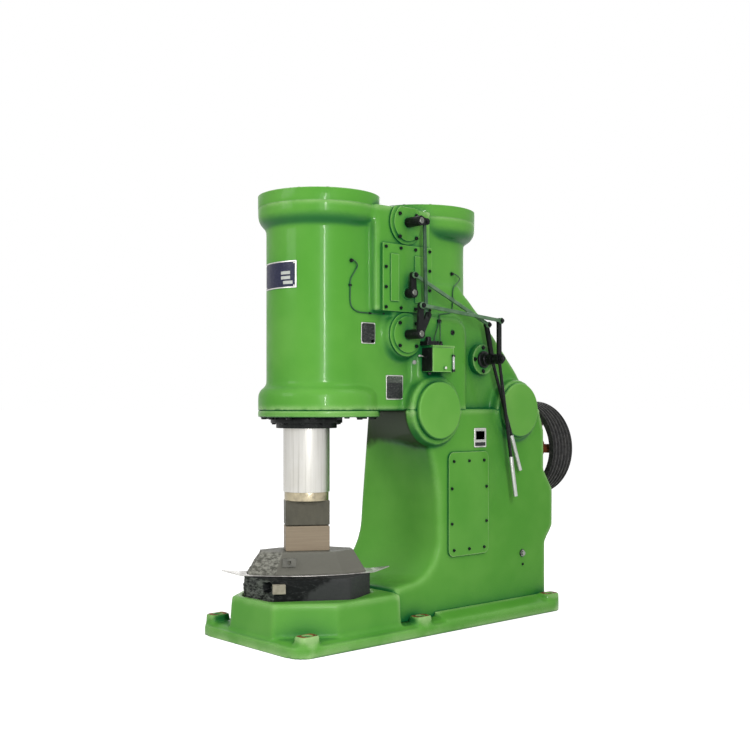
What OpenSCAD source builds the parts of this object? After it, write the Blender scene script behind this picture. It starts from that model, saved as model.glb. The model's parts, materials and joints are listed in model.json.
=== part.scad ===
// Pneumatic forging hammer: a C-shaped frame with a working cylinder over the anvil, a compressor
// cylinder behind it, rotary valves on one side worked by two hand levers, and a belt pulley behind.
// The origin is on the floor under the ram's axis, the front is -Y, the valve side is +X, +Z is up.

/* [Overall] */
// Height from the floor to the top of the cylinder heads
overall_h = 3200; // [3150:5:3300]
// Width of the column across its sides
body_w = 894; // [880:2:920]
// Distance from the ram's axis back to the compressor cylinder's axis
cylinder_spacing = 1130; // [1100:5:1160]
// Height of the parting face between column and cylinder block
parting_z = 1640; // [1620:5:1660]

/* [Base] */
// Width of the base plate
base_w = 1214; // [1200:2:1260]
// Reach of the base plate in front of the ram's axis
base_front = 540; // [530:5:580]
// Reach of the base plate behind the ram's axis
base_rear = 2220; // [2200:5:2280]
// Thickness of the base plate at its edge
base_t = 70; // [60:1:90]
// Radius of the base plate's corners
corner_r = 130; // [110:5:150]
// Diameter of the foundation bolt holes
bolt_hole_d = 56; // [40:1:70]
// Distance between the foundation bolts across the base
bolt_span_x = 1060; // [1050:2:1080]
// Front foundation bolts, ahead of the ram's axis
bolt_front_y = 415; // [400:5:430]
// Middle foundation bolts, behind the ram's axis
bolt_mid_y = 640; // [620:5:700]
// Rear foundation bolts, behind the ram's axis
bolt_rear_y = 2110; // [2080:5:2120]
// Height of the foundation lugs above the base plate
lug_h = 75; // [60:1:90]

/* [Pedestal and anvil] */
// Height of the pedestal's top
pedestal_top = 318; // [300:2:330]
// Width of the pedestal
pedestal_w = 1036; // [1000:4:1060]
// Reach of the pedestal ahead of the ram's axis
pedestal_front = 486; // [470:2:500]
// Width of the anvil block across the dies
anvil_w = 670; // [640:4:680]
// Length of the anvil block along the dies
anvil_l = 920; // [900:4:930]
// Height of the anvil block's top
anvil_top = 462; // [440:2:480]
// Height of the sow block
sow_h = 168; // [150:2:190]
// Length of the dies
die_l = 320; // [300:2:340]
// Width of the dies
die_w = 170; // [150:2:190]
// Height of each die
die_h = 178; // [165:1:190]
// Turn of the dies about the ram's axis
die_turn = 58; // [54:1:62]
// Gap left between the dies with the ram down
die_gap = 6; // [6:1:12]

/* [Ram and cylinders] */
// Diameter of the ram
ram_d = 338; // [320:2:350]
// Working stroke of the ram
ram_stroke = 500; // [450:10:520]
// Distance of the working cylinder's barrel axis behind the ram's axis
barrel_back = 118; // [110:2:124]
// Outer radius of the compressor cylinder
comp_r = 360; // [350:2:370]
// Thickness of the cylinder heads
head_t = 75; // [60:1:90]

/* [Side gear] */
// Distance of the upper valve shaft below the top of the cylinder block
upper_valve_drop = 113; // [105:1:120]
// Radius of the round valve flanges
valve_flange_r = 160; // [150:1:165]
// Distance of the hand levers' shaft behind the ram's axis
lever_y = 1418; // [1400:2:1440]
// Height of the hand levers' shaft above the parting face
lever_rise = 398; // [390:2:410]
// Radius of the round bearing covers
cover_r = 217; // [205:1:225]

/* [Pulley] */
// Radius of the belt pulley
pulley_r = 404; // [390:2:420]
// Width of the belt pulley's rim
pulley_w = 250; // [230:2:260]
// Height of the pulley's axis
pulley_z = 1308; // [1290:2:1330]
// Number of belt grooves
groove_count = 6; // [4:1:7]
// Number of pulley spokes
spoke_count = 6; // [5:1:8]

/* [Hidden] */
$fn = 96;

enamel = [0.33, 0.62, 0.24];
dark_steel = [0.2, 0.2, 0.2];
bare_steel = [0.72, 0.72, 0.7];
black = [0.08, 0.1, 0.09];

// Overrun of every cut, and the clearances
cut = 5;
seat_gap = 0.3;
run_gap = 0.05;

half_w = body_w / 2;

// Base and pedestal
step_in = 45;
step_h = 18;
base_step_top = base_t + step_h;
lug_w = 112;
lug_l = 160;
lug_corner_r = 30;
pedestal_rear = 457;
pedestal_front_share = 0.48;
pedestal_corner_share = 0.27;
pedestal_draft = 16;
toe_gap = 14;

// Column
toe_y = pedestal_rear + toe_gap;
near_back_y = 922;
near_toe_rise = 16;
near_floor_rise = 44;
near_arc_r = 315;
near_upper_r = 1600;
near_upper_rise = 470;
far_back_y = 896;
far_arc_r = 476;
far_lean = 80;
throat_edge_r = 42;
throat_boss_edge_r = 12;
throat_boss_rim = 16;
throat_edge_over = 1.5;
throat_axis_back = 100;
throat_axis_z = 1000;
lower_steps = 12;
upper_steps = 6;
boss_steps = 8;
edge_steps = 3;
span_steps = 8;
column_rear = 2168;
bulge_out = 98;
bulge_low_z = 552;
bulge_h = 600;
bulge_slope_low = 128;
bulge_slope_high = 170;
bulge_top_z = bulge_low_z + bulge_h;
rear_lean_low = 18;
rear_lean_top = 78;
housing_face_y = column_rear - rear_lean_low;
rear_top_y = column_rear - rear_lean_top;
rear_knee_drop = 160;

// Cylinder block
block_top = overall_h - head_t;
flange_h = 100;
flange_bead_r = 75;
top_flange_h = 65;
top_bead_r = 110;
wall_step = 60;
wall_half_w = half_w - wall_step;
panel_front = 712;
panel_rear = 1215;
panel_top = 2330;
panel_corner_r = 110;
panel_slope = 45;
slope_h_share = 0.646;
slope_top_z = parting_z + slope_h_share * (block_top - parting_z);
slope_shares = [[1, 0], [0.915, 0.145], [0.746, 0.355], [0.346, 0.764], [0.073, 1]];
bore_gap = 6;
work_bore_r = ram_d / 2 + bore_gap;
bore_top_gap = 90;
lower_cover_t = 46;
gland_t = 80;
gland_flange_w = 92;
gland_neck_w = 52;
gland_r = ram_d / 2 + gland_flange_w;
gland_neck_r = ram_d / 2 + gland_neck_w;
gland_neck_h = 38;

// Bearing covers on the parting face
crank_y = 857;
gear_y = 1790;
crank_boss_rim = 46;
gear_boss_rim = 26;
crank_boss_r = cover_r + crank_boss_rim;
gear_boss_r = cover_r + gear_boss_rim;
crank_boss_out = 45;
gear_boss_out = 30;
crank_cover_t = 35;
gear_cover_t = 28;
cover_edge_r = 14;
boss_edge_r = crank_boss_r + throat_boss_rim;
crank_boss_x = half_w + crank_boss_out;
gear_boss_x = half_w + gear_boss_out;

// Covers on the column's sides
inspect_y = 1232;
inspect_w = 444;
inspect_low_z = 525;
inspect_h = 795;
inspect_t = 14;
inspect_corner_r = 50;

// Valve chest, its cover between the two round flanges
valve_y = 566;
lower_valve_share = 0.374;
middle_valve_share = 0.281;
upper_valve_z = block_top - upper_valve_drop;
lower_valve_z = parting_z + lower_valve_share * (block_top - parting_z);
chest_front = 275;
chest_rear = 835;
chest_skirt = 7;
chest_corner_r = 14;
chest_cover_y = 574;
chest_cover_w = 494;
chest_cover_gap = 4;
chest_cover_low_z = lower_valve_z + valve_flange_r + chest_cover_gap;
chest_low_z = chest_cover_low_z - chest_skirt;
chest_cover_h = upper_valve_z - valve_flange_r - chest_cover_gap - chest_cover_low_z;
middle_valve_z = chest_cover_low_z + middle_valve_share * chest_cover_h;
chest_cover_t = 22;
chest_rib_w = 80;
chest_rib_t = 10;
chest_rib_shares = [0.22, 0.71];
chest_rib_h_share = 0.7;
valve_flange_t = 30;
valve_flange_step = 26;
valve_seat_rim = 10;
valve_seat_r = valve_flange_r + valve_seat_rim;
valve_fillet_r = 45;
valve_fillet_lip = 3;
valve_shaft_r = 22;
valve_hub_r = 36;
valve_boss_r = 44;
hub_over = 6;

// Planes of the linkage along X, from the wall outwards
lever_b_x = 520;
bar_t = 20;
rod_t = 18;
pin_side_gap = 3;
rod_b_x = lever_b_x + bar_t + pin_side_gap;
link_x = 572;
crank_a_x = link_x + rod_t + pin_side_gap;
rod_a_x = crank_a_x + bar_t + pin_side_gap;

// Linkage in the side plane, each pin as [y, z] from its shaft
link_arm = 66;
link_low_arm = [84, 140];
lower_arm = [6, 204];
middle_arm = [0, 128];
lever_a_top = [-1, 293];
lever_b_top = [-64, 263];
lever_a_end = [193, -1072];
lever_b_end = [331, -876];
grip_a_share = 0.71;
grip_b_share = 0.68;
eye_r = 24;
pin_r = 10;
pin_bore_r = pin_r + run_gap;
open_gap = 6.5;
open_bore_r = pin_r + open_gap;
bar_w = 38;
crank_w = 60;
crank_eye_w = 46;
rod_w = 26;
pin_head_t = 4;
lever_rod_r = 13;
grip_r = 17;
lever_shaft_r = 22;
lever_hub_r = 42;
lever_hub_over = 9;
lever_collar_t = 10;
bracket_r = 118;
bracket_neck_r = 34;
bracket_t = 50;
hub_side_gap = 1;

// Lubricator on the wall
lub_y = 735;
lub_l = 222;
lub_x = 118;
lub_gap = 22;
lub_z = parting_z + crank_boss_r + lub_gap;
lub_h = 185;
lub_lid_t = 12;
lub_lid_over = 4;
lub_outlet_r = 9;
lub_outlet_h = 30;
lub_outlet_shares = [0.35, 0.5, 0.65];

// Anvil pieces
anvil_side_share = 0.6;
anvil_end_share = 0.19;
wedge_w = 90;
wedge_h = 64;
wedge_out = 46;
wedge_drop = 26;
wedge_slot_w = 88;
wedge_slot_in = 110;
tray_l = 1230;
tray_w = 420;
tray_t = 8;
tray_lip_l = 130;
tray_lip_up = 26;
sow_l = 864;
sow_w = 310;
sow_end_taper = 96;
sow_side_share = 0.57;
sow_end_share = 0.42;
sow_top_l = sow_l - 2 * sow_end_taper;
sow_key_l = 100;
sow_key_h = 60;
sow_key_out = 18;
sow_key_up = 66;
sow_key_hole_d = 26;
sow_top = anvil_top + sow_h;
die_low_z = sow_top;
die_split_z = die_low_z + die_h;
upper_die_z = die_split_z + die_gap;
ring_z = upper_die_z + die_h;
ring_h = 62;
ring_r = ram_d / 2 - 8;
ram_low_z = ring_z + ring_h;
ram_top_gap = 60;
ram_top_z = block_top - bore_top_gap - ram_stroke - ram_top_gap;

// Pulley
pulley_gap = 64;
pulley_y = column_rear + bulge_out + pulley_gap;
rim_t = 52;
hub_r = 105;
pulley_shaft_r = 55;
shaft_tail = 22;
spoke_w = 74;
spoke_t = 62;
groove_depth = 24;
groove_land_share = 0.3;
housing_gap = 6;
housing_r = pulley_z - bulge_top_z - housing_gap;
housing_neck_r = 120;
housing_neck = 40;
housing_end_gap = 20;

// Round bar along X
module x_rod(r, x0, x1, y, z) {
    translate([x0, y, z]) rotate([0, 90, 0]) cylinder(r = r, h = x1 - x0);
}

// Round bar along Y
module y_rod(r, y0, y1, x, z) {
    translate([x, y1, z]) rotate([90, 0, 0]) cylinder(r = r, h = y1 - y0);
}

// Outline in the side plane, carried along X
module side_extrude(x0, x1) {
    translate([x0, 0, 0]) rotate([90, 0, 90]) linear_extrude(height = x1 - x0) children();
}

// Rectangle with round corners
module round_rect(w, h, r) {
    translate([0, r]) square([w, h - 2 * r]);
    translate([r, 0]) square([w - 2 * r, h]);
    for (px = [r, w - r]) for (py = [r, h - r]) translate([px, py]) circle(r = r);
}

// Long block with its four corners cut off, centred: straight along part of its sides and of its ends
module block_outline(l, w, side_share, end_share) {
    sx = l / 2 * side_share;
    ey = w / 2 * end_share;
    polygon([[-sx, -w / 2], [sx, -w / 2], [l / 2, -ey], [l / 2, ey],
        [sx, w / 2], [-sx, w / 2], [-l / 2, ey], [-l / 2, -ey]]);
}

// Round disc along X with its outer edge rounded
module x_disc(r, x0, t, edge, y, z) {
    translate([x0, y, z]) rotate([0, 90, 0]) rotate_extrude() {
        square([r, t - edge]);
        square([r - edge, t]);
        translate([r - edge, t - edge]) circle(r = edge);
    }
}

// Outline in the side plane of a flat bar between two points, with a width and a round eye at each end
module bar_outline(p, q, wp, wq, r) {
    d = q - p;
    translate(p) circle(r = r);
    translate(q) circle(r = r);
    translate(p) rotate(atan2(d[1], d[0]))
        polygon([[0, -wp / 2], [norm(d), -wq / 2], [norm(d), wq / 2], [0, wp / 2]]);
}

// Round rod between two points of the side plane
module slant_rod(p, q, x, r) {
    d = q - p;
    translate([x, p[0], p[1]]) rotate([atan2(d[1], d[0]) - 90, 0, 0]) cylinder(r = r, h = norm(d));
}

// Outline of the pedestal, grown by the draft
module pedestal_outline(grow) {
    hw = pedestal_w / 2 + grow;
    fw = hw * pedestal_front_share;
    fy = pedestal_front + grow;
    polygon([[-fw, -fy], [fw, -fy], [hw, -fy * pedestal_corner_share], [hw, pedestal_rear],
        [-hw, pedestal_rear], [-hw, -fy * pedestal_corner_share]]);
}

module base_outline(inset) {
    translate([inset - base_w / 2, inset - base_front])
        round_rect(base_w - 2 * inset, base_front + base_rear - 2 * inset, corner_r - inset);
}

// Plan position of each foundation bolt
module at_bolts() {
    for (side = [-1, 1]) for (y = [-bolt_front_y, bolt_mid_y, bolt_rear_y])
        translate([side * bolt_span_x / 2, y, 0]) children();
}

module base_casting() {
    color(enamel) difference() {
        union() {
            linear_extrude(height = base_t) base_outline(0);
            linear_extrude(height = base_step_top) base_outline(step_in);
            hull() {
                linear_extrude(height = base_step_top) pedestal_outline(pedestal_draft);
                linear_extrude(height = pedestal_top) pedestal_outline(0);
            }
            at_bolts() translate([-lug_w / 2, -lug_l / 2]) linear_extrude(height = base_t + lug_h)
                round_rect(lug_w, lug_l, lug_corner_r);
        }
        at_bolts() translate([0, 0, -cut]) cylinder(d = bolt_hole_d, h = base_t + lug_h + 2 * cut);
        die_turned(-cut) linear_extrude(height = pedestal_top + 2 * cut)
            block_outline(anvil_l + 2 * seat_gap, anvil_w + 2 * seat_gap, anvil_side_share, anvil_end_share);
    }
}

// Point of an arc in the side plane
function arc_point(c, r, a) = c + r * [cos(a), sin(a)];

// Turn of the near edge's upper arc at which it meets the crank bearing's boss
function upper_sweep(d) =
    let (reach = near_upper_r * near_upper_r + d * d - boss_edge_r * boss_edge_r)
    atan2(d[1], d[0]) - acos(reach / (2 * near_upper_r * norm(d)));

// Edge of the throat on the valve side: toe, lower arc, upper arc, then round the crank bearing's boss
function near_edge() =
    let (low_c = [near_back_y - near_arc_r, pedestal_top + near_floor_rise + near_arc_r])
    let (up_c = [near_back_y - near_upper_r, pedestal_top + near_upper_rise])
    let (boss_c = [crank_y, parting_z])
    let (sweep = upper_sweep(boss_c - up_c))
    let (meet = arc_point(up_c, near_upper_r, sweep) - boss_c)
    let (turn = atan2(meet[1], meet[0]))
    concat([[toe_y - throat_edge_r, pedestal_top + near_toe_rise]],
        [for (i = [0 : lower_steps]) arc_point(low_c, near_arc_r, 90 * i / lower_steps - 90)],
        [for (i = [1 : upper_steps]) arc_point(up_c, near_upper_r, sweep * i / upper_steps)],
        [for (i = [1 : boss_steps]) arc_point(boss_c, boss_edge_r, turn - (turn + 180) * i / boss_steps)],
        [[crank_y - boss_edge_r, parting_z + cut], [toe_y - throat_edge_r, parting_z + cut]]);

// Edge of the throat on the far side: a wide lower arc, then a straight lean up to the parting face
function far_edge(near) =
    let (low_c = [far_back_y - far_arc_r, pedestal_top + far_arc_r])
    let (start = -acos((toe_y - low_c[0]) / far_arc_r))
    let (knee = lower_steps + 1, meet = knee + upper_steps)
    let (near_rise = parting_z - near[knee][1])
    let (shares = [for (i = [knee + 1 : meet]) (near[i][1] - near[knee][1]) / near_rise])
    let (left = 1 - shares[upper_steps - 1])
    let (lean = [far_lean, parting_z - low_c[1]])
    concat([[toe_y - throat_edge_r, low_c[1] + far_arc_r * sin(start)]],
        [for (i = [0 : lower_steps]) arc_point(low_c, far_arc_r, start - start * i / lower_steps)],
        [for (f = shares) [far_back_y, low_c[1]] + f * lean],
        [for (i = [1 : boss_steps]) [far_back_y, low_c[1]] + (1 - left + left * i / boss_steps) * lean],
        [[far_back_y + far_lean, parting_z + cut], [toe_y - throat_edge_r, parting_z + cut]]);

// Direction into the casting at one point of an edge
function inward(edge, i) =
    let (d = edge[min(i + 1, len(edge) - 1)] - edge[max(i - 1, 0)])
    [d[1], -d[0]] / norm(d);

// Half of one section across the throat: the rounded edge on one side, from the wall's middle outwards
function edge_points(edge, i, r) =
    let (n = inward(edge, i))
    concat([for (k = [0 : edge_steps]) let (a = 90 * k / edge_steps)
            [half_w + throat_edge_over - r * (1 - sin(a)), edge[i] + n * r * (1 - cos(a))]],
        [[half_w + cut, edge[i] + n * r]]);

// Hollow of the throat, skewed between its two edges
module throat() {
    near = near_edge();
    far = far_edge(near);
    count = len(near);
    boss_from = count - boss_steps - 2;
    side = edge_steps + 2;
    ring = 2 * side + span_steps - 1;
    rounds = [for (i = [0 : count - 1]) i < boss_from ? throat_edge_r : throat_boss_edge_r];
    sections = [for (i = [0 : count - 1])
        let (f = edge_points(far, i, throat_edge_r), n = edge_points(near, i, rounds[i]))
        let (fp = [-f[0][0], f[0][1][0], f[0][1][1]], np = [n[0][0], n[0][1][0], n[0][1][1]])
        concat([for (k = [side - 1 : -1 : 0]) [-f[k][0], f[k][1][0], f[k][1][1]]],
            [for (m = [1 : span_steps - 1]) fp + m / span_steps * (np - fp)],
            [for (q = n) [q[0], q[1][0], q[1][1]]])];
    axis = [for (x = [-half_w - cut, half_w + cut]) [x, toe_y - throat_axis_back, throat_axis_z]];
    low = count * ring;
    high = low + 1;
    last = low - ring;
    walls = [for (i = [0 : count - 2]) for (j = [0 : ring - 2]) let (a = i * ring + j, b = a + ring)
        each [[a, a + 1, b], [a + 1, b + 1, b]]];
    sides = [for (i = [0 : count - 2]) let (a = i * ring, b = a + ring)
        each [[low, a, b], [high, b + ring - 1, a + ring - 1]]];
    ends = [for (j = [0 : ring - 2]) each [[low, j + 1, j], [low, last + j, last + j + 1]]];
    polyhedron(points = concat([for (q = sections) for (p = q) p], axis),
        faces = concat(walls, sides, ends, [[low, high, ring - 1], [low, low - 1, high]]));
}

module column_casting() {
    color(enamel) {
        difference() {
            side_extrude(-half_w, half_w) polygon([[toe_y, base_step_top], [toe_y, parting_z],
                [rear_top_y, parting_z], [housing_face_y, parting_z - rear_knee_drop],
                [housing_face_y, bulge_top_z],
                [column_rear + bulge_out, bulge_top_z - bulge_slope_high],
                [column_rear + bulge_out, bulge_low_z + bulge_slope_low],
                [column_rear, bulge_low_z], [column_rear, base_step_top]]);
            throat();
        }
        difference() {
            union() {
                x_rod(crank_boss_r, half_w - cut, crank_boss_x, crank_y, parting_z);
                x_rod(gear_boss_r, half_w - cut, gear_boss_x, gear_y, parting_z);
            }
            translate([0, 0, parting_z]) cube([body_w, base_rear, overall_h]);
        }
    }
}

// Round band of the working cylinder's flange
module work_band(z0, z1) {
    translate([0, barrel_back, z0]) cylinder(r = half_w, h = z1 - z0);
}

// Flange of a half section, as [radius, height], with a round bead that runs into the barrel below or above
module flange_section(r, z0, z1, bead, bead_z, bead_low) {
    translate([0, z0]) square([r, z1 - z0]);
    intersection() {
        translate([r - bead, bead_z]) circle(r = bead);
        translate([0, bead_low]) square([r, bead]);
    }
}

// Half section of the working cylinder with its two flanges
module work_section() {
    low_top = parting_z + flange_h;
    high_low = block_top - top_flange_h;
    translate([0, parting_z]) square([wall_half_w, block_top - parting_z]);
    flange_section(half_w, parting_z, low_top, flange_bead_r, low_top, low_top);
    flange_section(half_w, high_low, block_top, top_bead_r, high_low, high_low - top_bead_r);
}

// Half section of the compressor cylinder with its top flange
module comp_section() {
    high_low = block_top - top_flange_h;
    translate([0, parting_z]) square([comp_r, block_top - parting_z]);
    flange_section(half_w, high_low, block_top, top_bead_r, high_low, high_low - top_bead_r);
}

// Outline in the side plane of the raised panel, grown at its front, top and rear
module panel_outline(grow) {
    r = panel_corner_r + grow;
    front = panel_front - grow;
    translate([front, parting_z]) square([panel_rear + grow - front - r, panel_top + grow - parting_z]);
    translate([front, parting_z]) square([panel_rear + grow - front, panel_top + grow - parting_z - r]);
    translate([panel_rear + grow - r, panel_top + grow - r]) circle(r = r);
}

// Plan of the valve chest, its front corner rounded
module chest_plan() {
    depth = chest_rear - chest_front;
    translate([0, chest_front]) square([half_w - chest_corner_r, depth]);
    translate([0, chest_front + chest_corner_r]) square([half_w, depth - chest_corner_r]);
    translate([half_w - chest_corner_r, chest_front + chest_corner_r]) circle(r = chest_corner_r);
}

// Boss under the lower valve flange, with a hollow fillet where it leaves the wall
module valve_seat() {
    foot = cut + valve_fillet_r;
    translate([wall_half_w - cut, valve_y, lower_valve_z]) rotate([0, 90, 0]) rotate_extrude() {
        square([valve_seat_r, wall_step + cut]);
        difference() {
            square([valve_seat_r + valve_fillet_r - valve_fillet_lip, foot - valve_fillet_lip]);
            translate([valve_seat_r + valve_fillet_r, foot]) circle(r = valve_fillet_r);
        }
    }
}

module cylinder_block() {
    slope_l = rear_top_y - cylinder_spacing;
    slope_h = slope_top_z - parting_z;
    block_h = block_top - parting_z;
    color(enamel) difference() {
        union() {
            translate([0, barrel_back, 0]) rotate_extrude() work_section();
            translate([-wall_half_w, barrel_back, parting_z])
                cube([2 * wall_half_w, chest_rear - barrel_back, block_h]);
            translate([-comp_r, barrel_back, parting_z])
                cube([2 * comp_r, cylinder_spacing - barrel_back, block_h]);
            translate([0, 0, chest_low_z]) linear_extrude(height = block_top - chest_low_z) chest_plan();
            valve_seat();
            hull() {
                side_extrude(-half_w, half_w) panel_outline(0);
                side_extrude(-wall_half_w, wall_half_w) panel_outline(panel_slope);
            }
            side_extrude(-wall_half_w, wall_half_w) polygon(concat([[barrel_back, parting_z]],
                [for (s = slope_shares) [cylinder_spacing + s[0] * slope_l, parting_z + s[1] * slope_h]],
                [[barrel_back, slope_top_z]]));
            translate([0, cylinder_spacing, 0]) rotate_extrude() comp_section();
            difference() {
                union() {
                    x_rod(crank_boss_r, wall_half_w - cut, crank_boss_x, crank_y, parting_z);
                    x_rod(gear_boss_r, wall_half_w - cut, gear_boss_x, gear_y, parting_z);
                }
                translate([-body_w, 0, 0]) cube([2 * body_w, base_rear, parting_z]);
            }
        }
        translate([0, 0, parting_z - cut]) cylinder(r = work_bore_r, h = block_h - bore_top_gap + cut);
    }
}

module working_cylinder_head() {
    color(enamel) work_band(block_top, overall_h);
}

module compressor_cylinder_head() {
    color(enamel) translate([0, cylinder_spacing, block_top]) cylinder(r = half_w, h = head_t);
}

module lower_cylinder_cover() {
    color(enamel) difference() {
        work_band(parting_z - lower_cover_t, parting_z);
        translate([0, 0, parting_z - lower_cover_t - cut])
            cylinder(r = work_bore_r, h = lower_cover_t + 2 * cut);
    }
}

module ram_gland() {
    gland_z = parting_z - lower_cover_t - gland_t;
    color(black) difference() {
        union() {
            translate([0, 0, gland_z]) cylinder(r = gland_neck_r, h = gland_t);
            translate([0, 0, gland_z + gland_neck_h]) cylinder(r = gland_r, h = gland_t - gland_neck_h);
        }
        translate([0, 0, gland_z - cut]) cylinder(r = ram_d / 2 + run_gap, h = gland_t + 2 * cut);
    }
}

module valve_chest_cover() {
    rib_h = chest_cover_h * chest_rib_h_share;
    rib_y = chest_cover_y - (chest_cover_w + chest_rib_w) / 2;
    rib_z = chest_cover_low_z + (chest_cover_h - rib_h) / 2;
    color(enamel) difference() {
        union() {
            translate([half_w, chest_cover_y - chest_cover_w / 2, chest_cover_low_z])
                cube([chest_cover_t, chest_cover_w, chest_cover_h]);
            for (share = chest_rib_shares) translate([half_w, rib_y + share * chest_cover_w, rib_z])
                cube([chest_cover_t + chest_rib_t, chest_rib_w, rib_h]);
            x_rod(valve_boss_r, half_w, half_w + valve_flange_t, valve_y, middle_valve_z);
        }
        x_rod(valve_shaft_r + run_gap, half_w - cut, half_w + valve_flange_t + cut, valve_y, middle_valve_z);
    }
}

// Round valve flange with a raised middle and a bore for the valve's shaft
module valve_flange(z) {
    difference() {
        union() {
            x_rod(valve_flange_r, half_w, half_w + valve_flange_t / 2, valve_y, z);
            x_rod(valve_flange_r - valve_flange_step, half_w, half_w + valve_flange_t, valve_y, z);
        }
        x_rod(valve_shaft_r + run_gap, half_w - cut, half_w + valve_flange_t + cut, valve_y, z);
        translate([half_w - cut, 0, block_top]) cube([half_w, cylinder_spacing, overall_h]);
    }
}

module upper_valve_flange() {
    color(enamel) valve_flange(upper_valve_z);
}

module lower_valve_flange() {
    color(enamel) valve_flange(lower_valve_z);
}

module crank_bearing_cover() {
    color(enamel) x_disc(cover_r, crank_boss_x, crank_cover_t, cover_edge_r, crank_y, parting_z);
}

module gear_bearing_cover() {
    color(enamel) x_disc(cover_r, gear_boss_x, gear_cover_t, cover_edge_r, gear_y, parting_z);
}

module inspection_plate(x0) {
    side_extrude(x0, x0 + inspect_t) translate([inspect_y - inspect_w / 2, inspect_low_z])
        round_rect(inspect_w, inspect_h, inspect_corner_r);
}

module inspection_cover() {
    color(enamel) inspection_plate(half_w);
}

module far_inspection_cover() {
    color(enamel) inspection_plate(-half_w - inspect_t);
}

module lubricator_tank() {
    color(enamel) translate([half_w, lub_y, lub_z]) cube([lub_x, lub_l, lub_h]);
}

module lubricator_lid() {
    color(enamel) {
        translate([half_w, lub_y - lub_lid_over, lub_z + lub_h])
            cube([lub_x + lub_lid_over, lub_l + 2 * lub_lid_over, lub_lid_t]);
        for (s = lub_outlet_shares) translate([half_w + lub_x / 2, lub_y + s * lub_l, lub_z + lub_h])
            cylinder(r = lub_outlet_r, h = lub_lid_t + lub_outlet_h);
    }
}

module lever_bracket() {
    hub_b0 = lever_b_x - lever_hub_over - hub_side_gap;
    hub_b1 = lever_b_x + bar_t + lever_hub_over + hub_side_gap;
    hub_a0 = crank_a_x - lever_hub_over - hub_side_gap;
    hub_a1 = crank_a_x + bar_t + lever_hub_over + hub_side_gap;
    color(enamel) {
        x_rod(bracket_r, wall_half_w, wall_half_w + bracket_t, lever_y, lever_z);
        x_rod(bracket_neck_r, wall_half_w, hub_b0, lever_y, lever_z);
        x_rod(lever_shaft_r, wall_half_w, hub_a1 + lever_collar_t, lever_y, lever_z);
        x_rod(bracket_neck_r, hub_b1, hub_a0, lever_y, lever_z);
        x_rod(bracket_neck_r, hub_a1, hub_a1 + lever_collar_t, lever_y, lever_z);
    }
}

module rear_bearing_housing() {
    color(enamel) difference() {
        union() {
            y_rod(housing_r, housing_face_y, pulley_y - housing_neck - housing_end_gap, 0, pulley_z);
            y_rod(housing_neck_r, housing_face_y, pulley_y - housing_end_gap, 0, pulley_z);
        }
        y_rod(pulley_shaft_r + run_gap, housing_face_y - cut, pulley_y + cut, 0, pulley_z);
    }
}

// Places a piece square to the dies
module die_turned(z) {
    translate([0, 0, z]) rotate([0, 0, die_turn]) children();
}

module anvil_block() {
    corner_x = -anvil_l / 2 * anvil_side_share;
    slot_z = anvil_top - wedge_drop - wedge_h;
    color(dark_steel) difference() {
        die_turned(0) linear_extrude(height = anvil_top)
            block_outline(anvil_l, anvil_w, anvil_side_share, anvil_end_share);
        die_turned(slot_z) translate([corner_x - wedge_slot_w, -anvil_w / 2 - cut, 0])
            cube([wedge_slot_w, wedge_slot_in + cut, wedge_h]);
    }
}

module anvil_wedge() {
    color(bare_steel) die_turned(anvil_top - wedge_drop - wedge_h)
        translate([-anvil_l / 2 * anvil_side_share, -anvil_w / 2 - wedge_out, 0])
            cube([wedge_w, wedge_out, wedge_h]);
}

// Leaf between two arcs, centred
module leaf(l, w) {
    r = (l * l + w * w) / (4 * w);
    intersection() {
        translate([0, r - w / 2]) circle(r = r);
        translate([0, w / 2 - r]) circle(r = r);
    }
}

module scale_tray() {
    flat = tray_l / 2 - tray_lip_l;
    end = tray_l / 2;
    color(bare_steel) die_turned(anvil_top) difference() {
        intersection() {
            translate([0, tray_w / 2, 0]) rotate([90, 0, 0]) linear_extrude(height = tray_w)
                polygon([[-flat, 0], [flat, 0], [end, tray_lip_up], [end, tray_lip_up + tray_t],
                    [flat, tray_t], [-flat, tray_t], [-end, tray_lip_up + tray_t], [-end, tray_lip_up]]);
            linear_extrude(height = tray_lip_up + 2 * tray_t) leaf(tray_l, tray_w);
        }
        translate([0, 0, -cut]) linear_extrude(height = tray_t + 2 * cut)
            block_outline(sow_l + 2 * seat_gap, sow_w + 2 * seat_gap, sow_side_share, sow_end_share);
    }
}

module sow_block() {
    color(dark_steel) die_turned(anvil_top) hull() {
        linear_extrude(height = tray_t) block_outline(sow_l, sow_w, sow_side_share, sow_end_share);
        linear_extrude(height = sow_h) block_outline(sow_top_l, sow_w, sow_side_share, sow_end_share);
    }
}

module sow_key() {
    color(bare_steel) die_turned(anvil_top + sow_key_up)
        translate([-sow_top_l / 2 * sow_side_share, -sow_w / 2 - sow_key_out, 0]) difference() {
            cube([sow_key_l, sow_key_out, sow_key_h]);
            y_rod(sow_key_hole_d / 2, -cut, sow_key_out + cut, sow_key_l / 2, sow_key_h / 2);
        }
}

module lower_die() {
    color([0.6, 0.5, 0.42]) die_turned(die_low_z) translate([-die_l / 2, -die_w / 2, 0])
        cube([die_l, die_w, die_h]);
}

module upper_die() {
    color([0.38, 0.34, 0.29]) die_turned(upper_die_z) translate([-die_l / 2, -die_w / 2, 0])
        cube([die_l, die_w, die_h]);
}

module ram_end_ring() {
    color([0.66, 0.56, 0.35]) translate([0, 0, ring_z]) cylinder(r = ring_r, h = ring_h);
}

module ram() {
    color(bare_steel) translate([0, 0, ram_low_z]) cylinder(d = ram_d, h = ram_top_z - ram_low_z);
}

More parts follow.
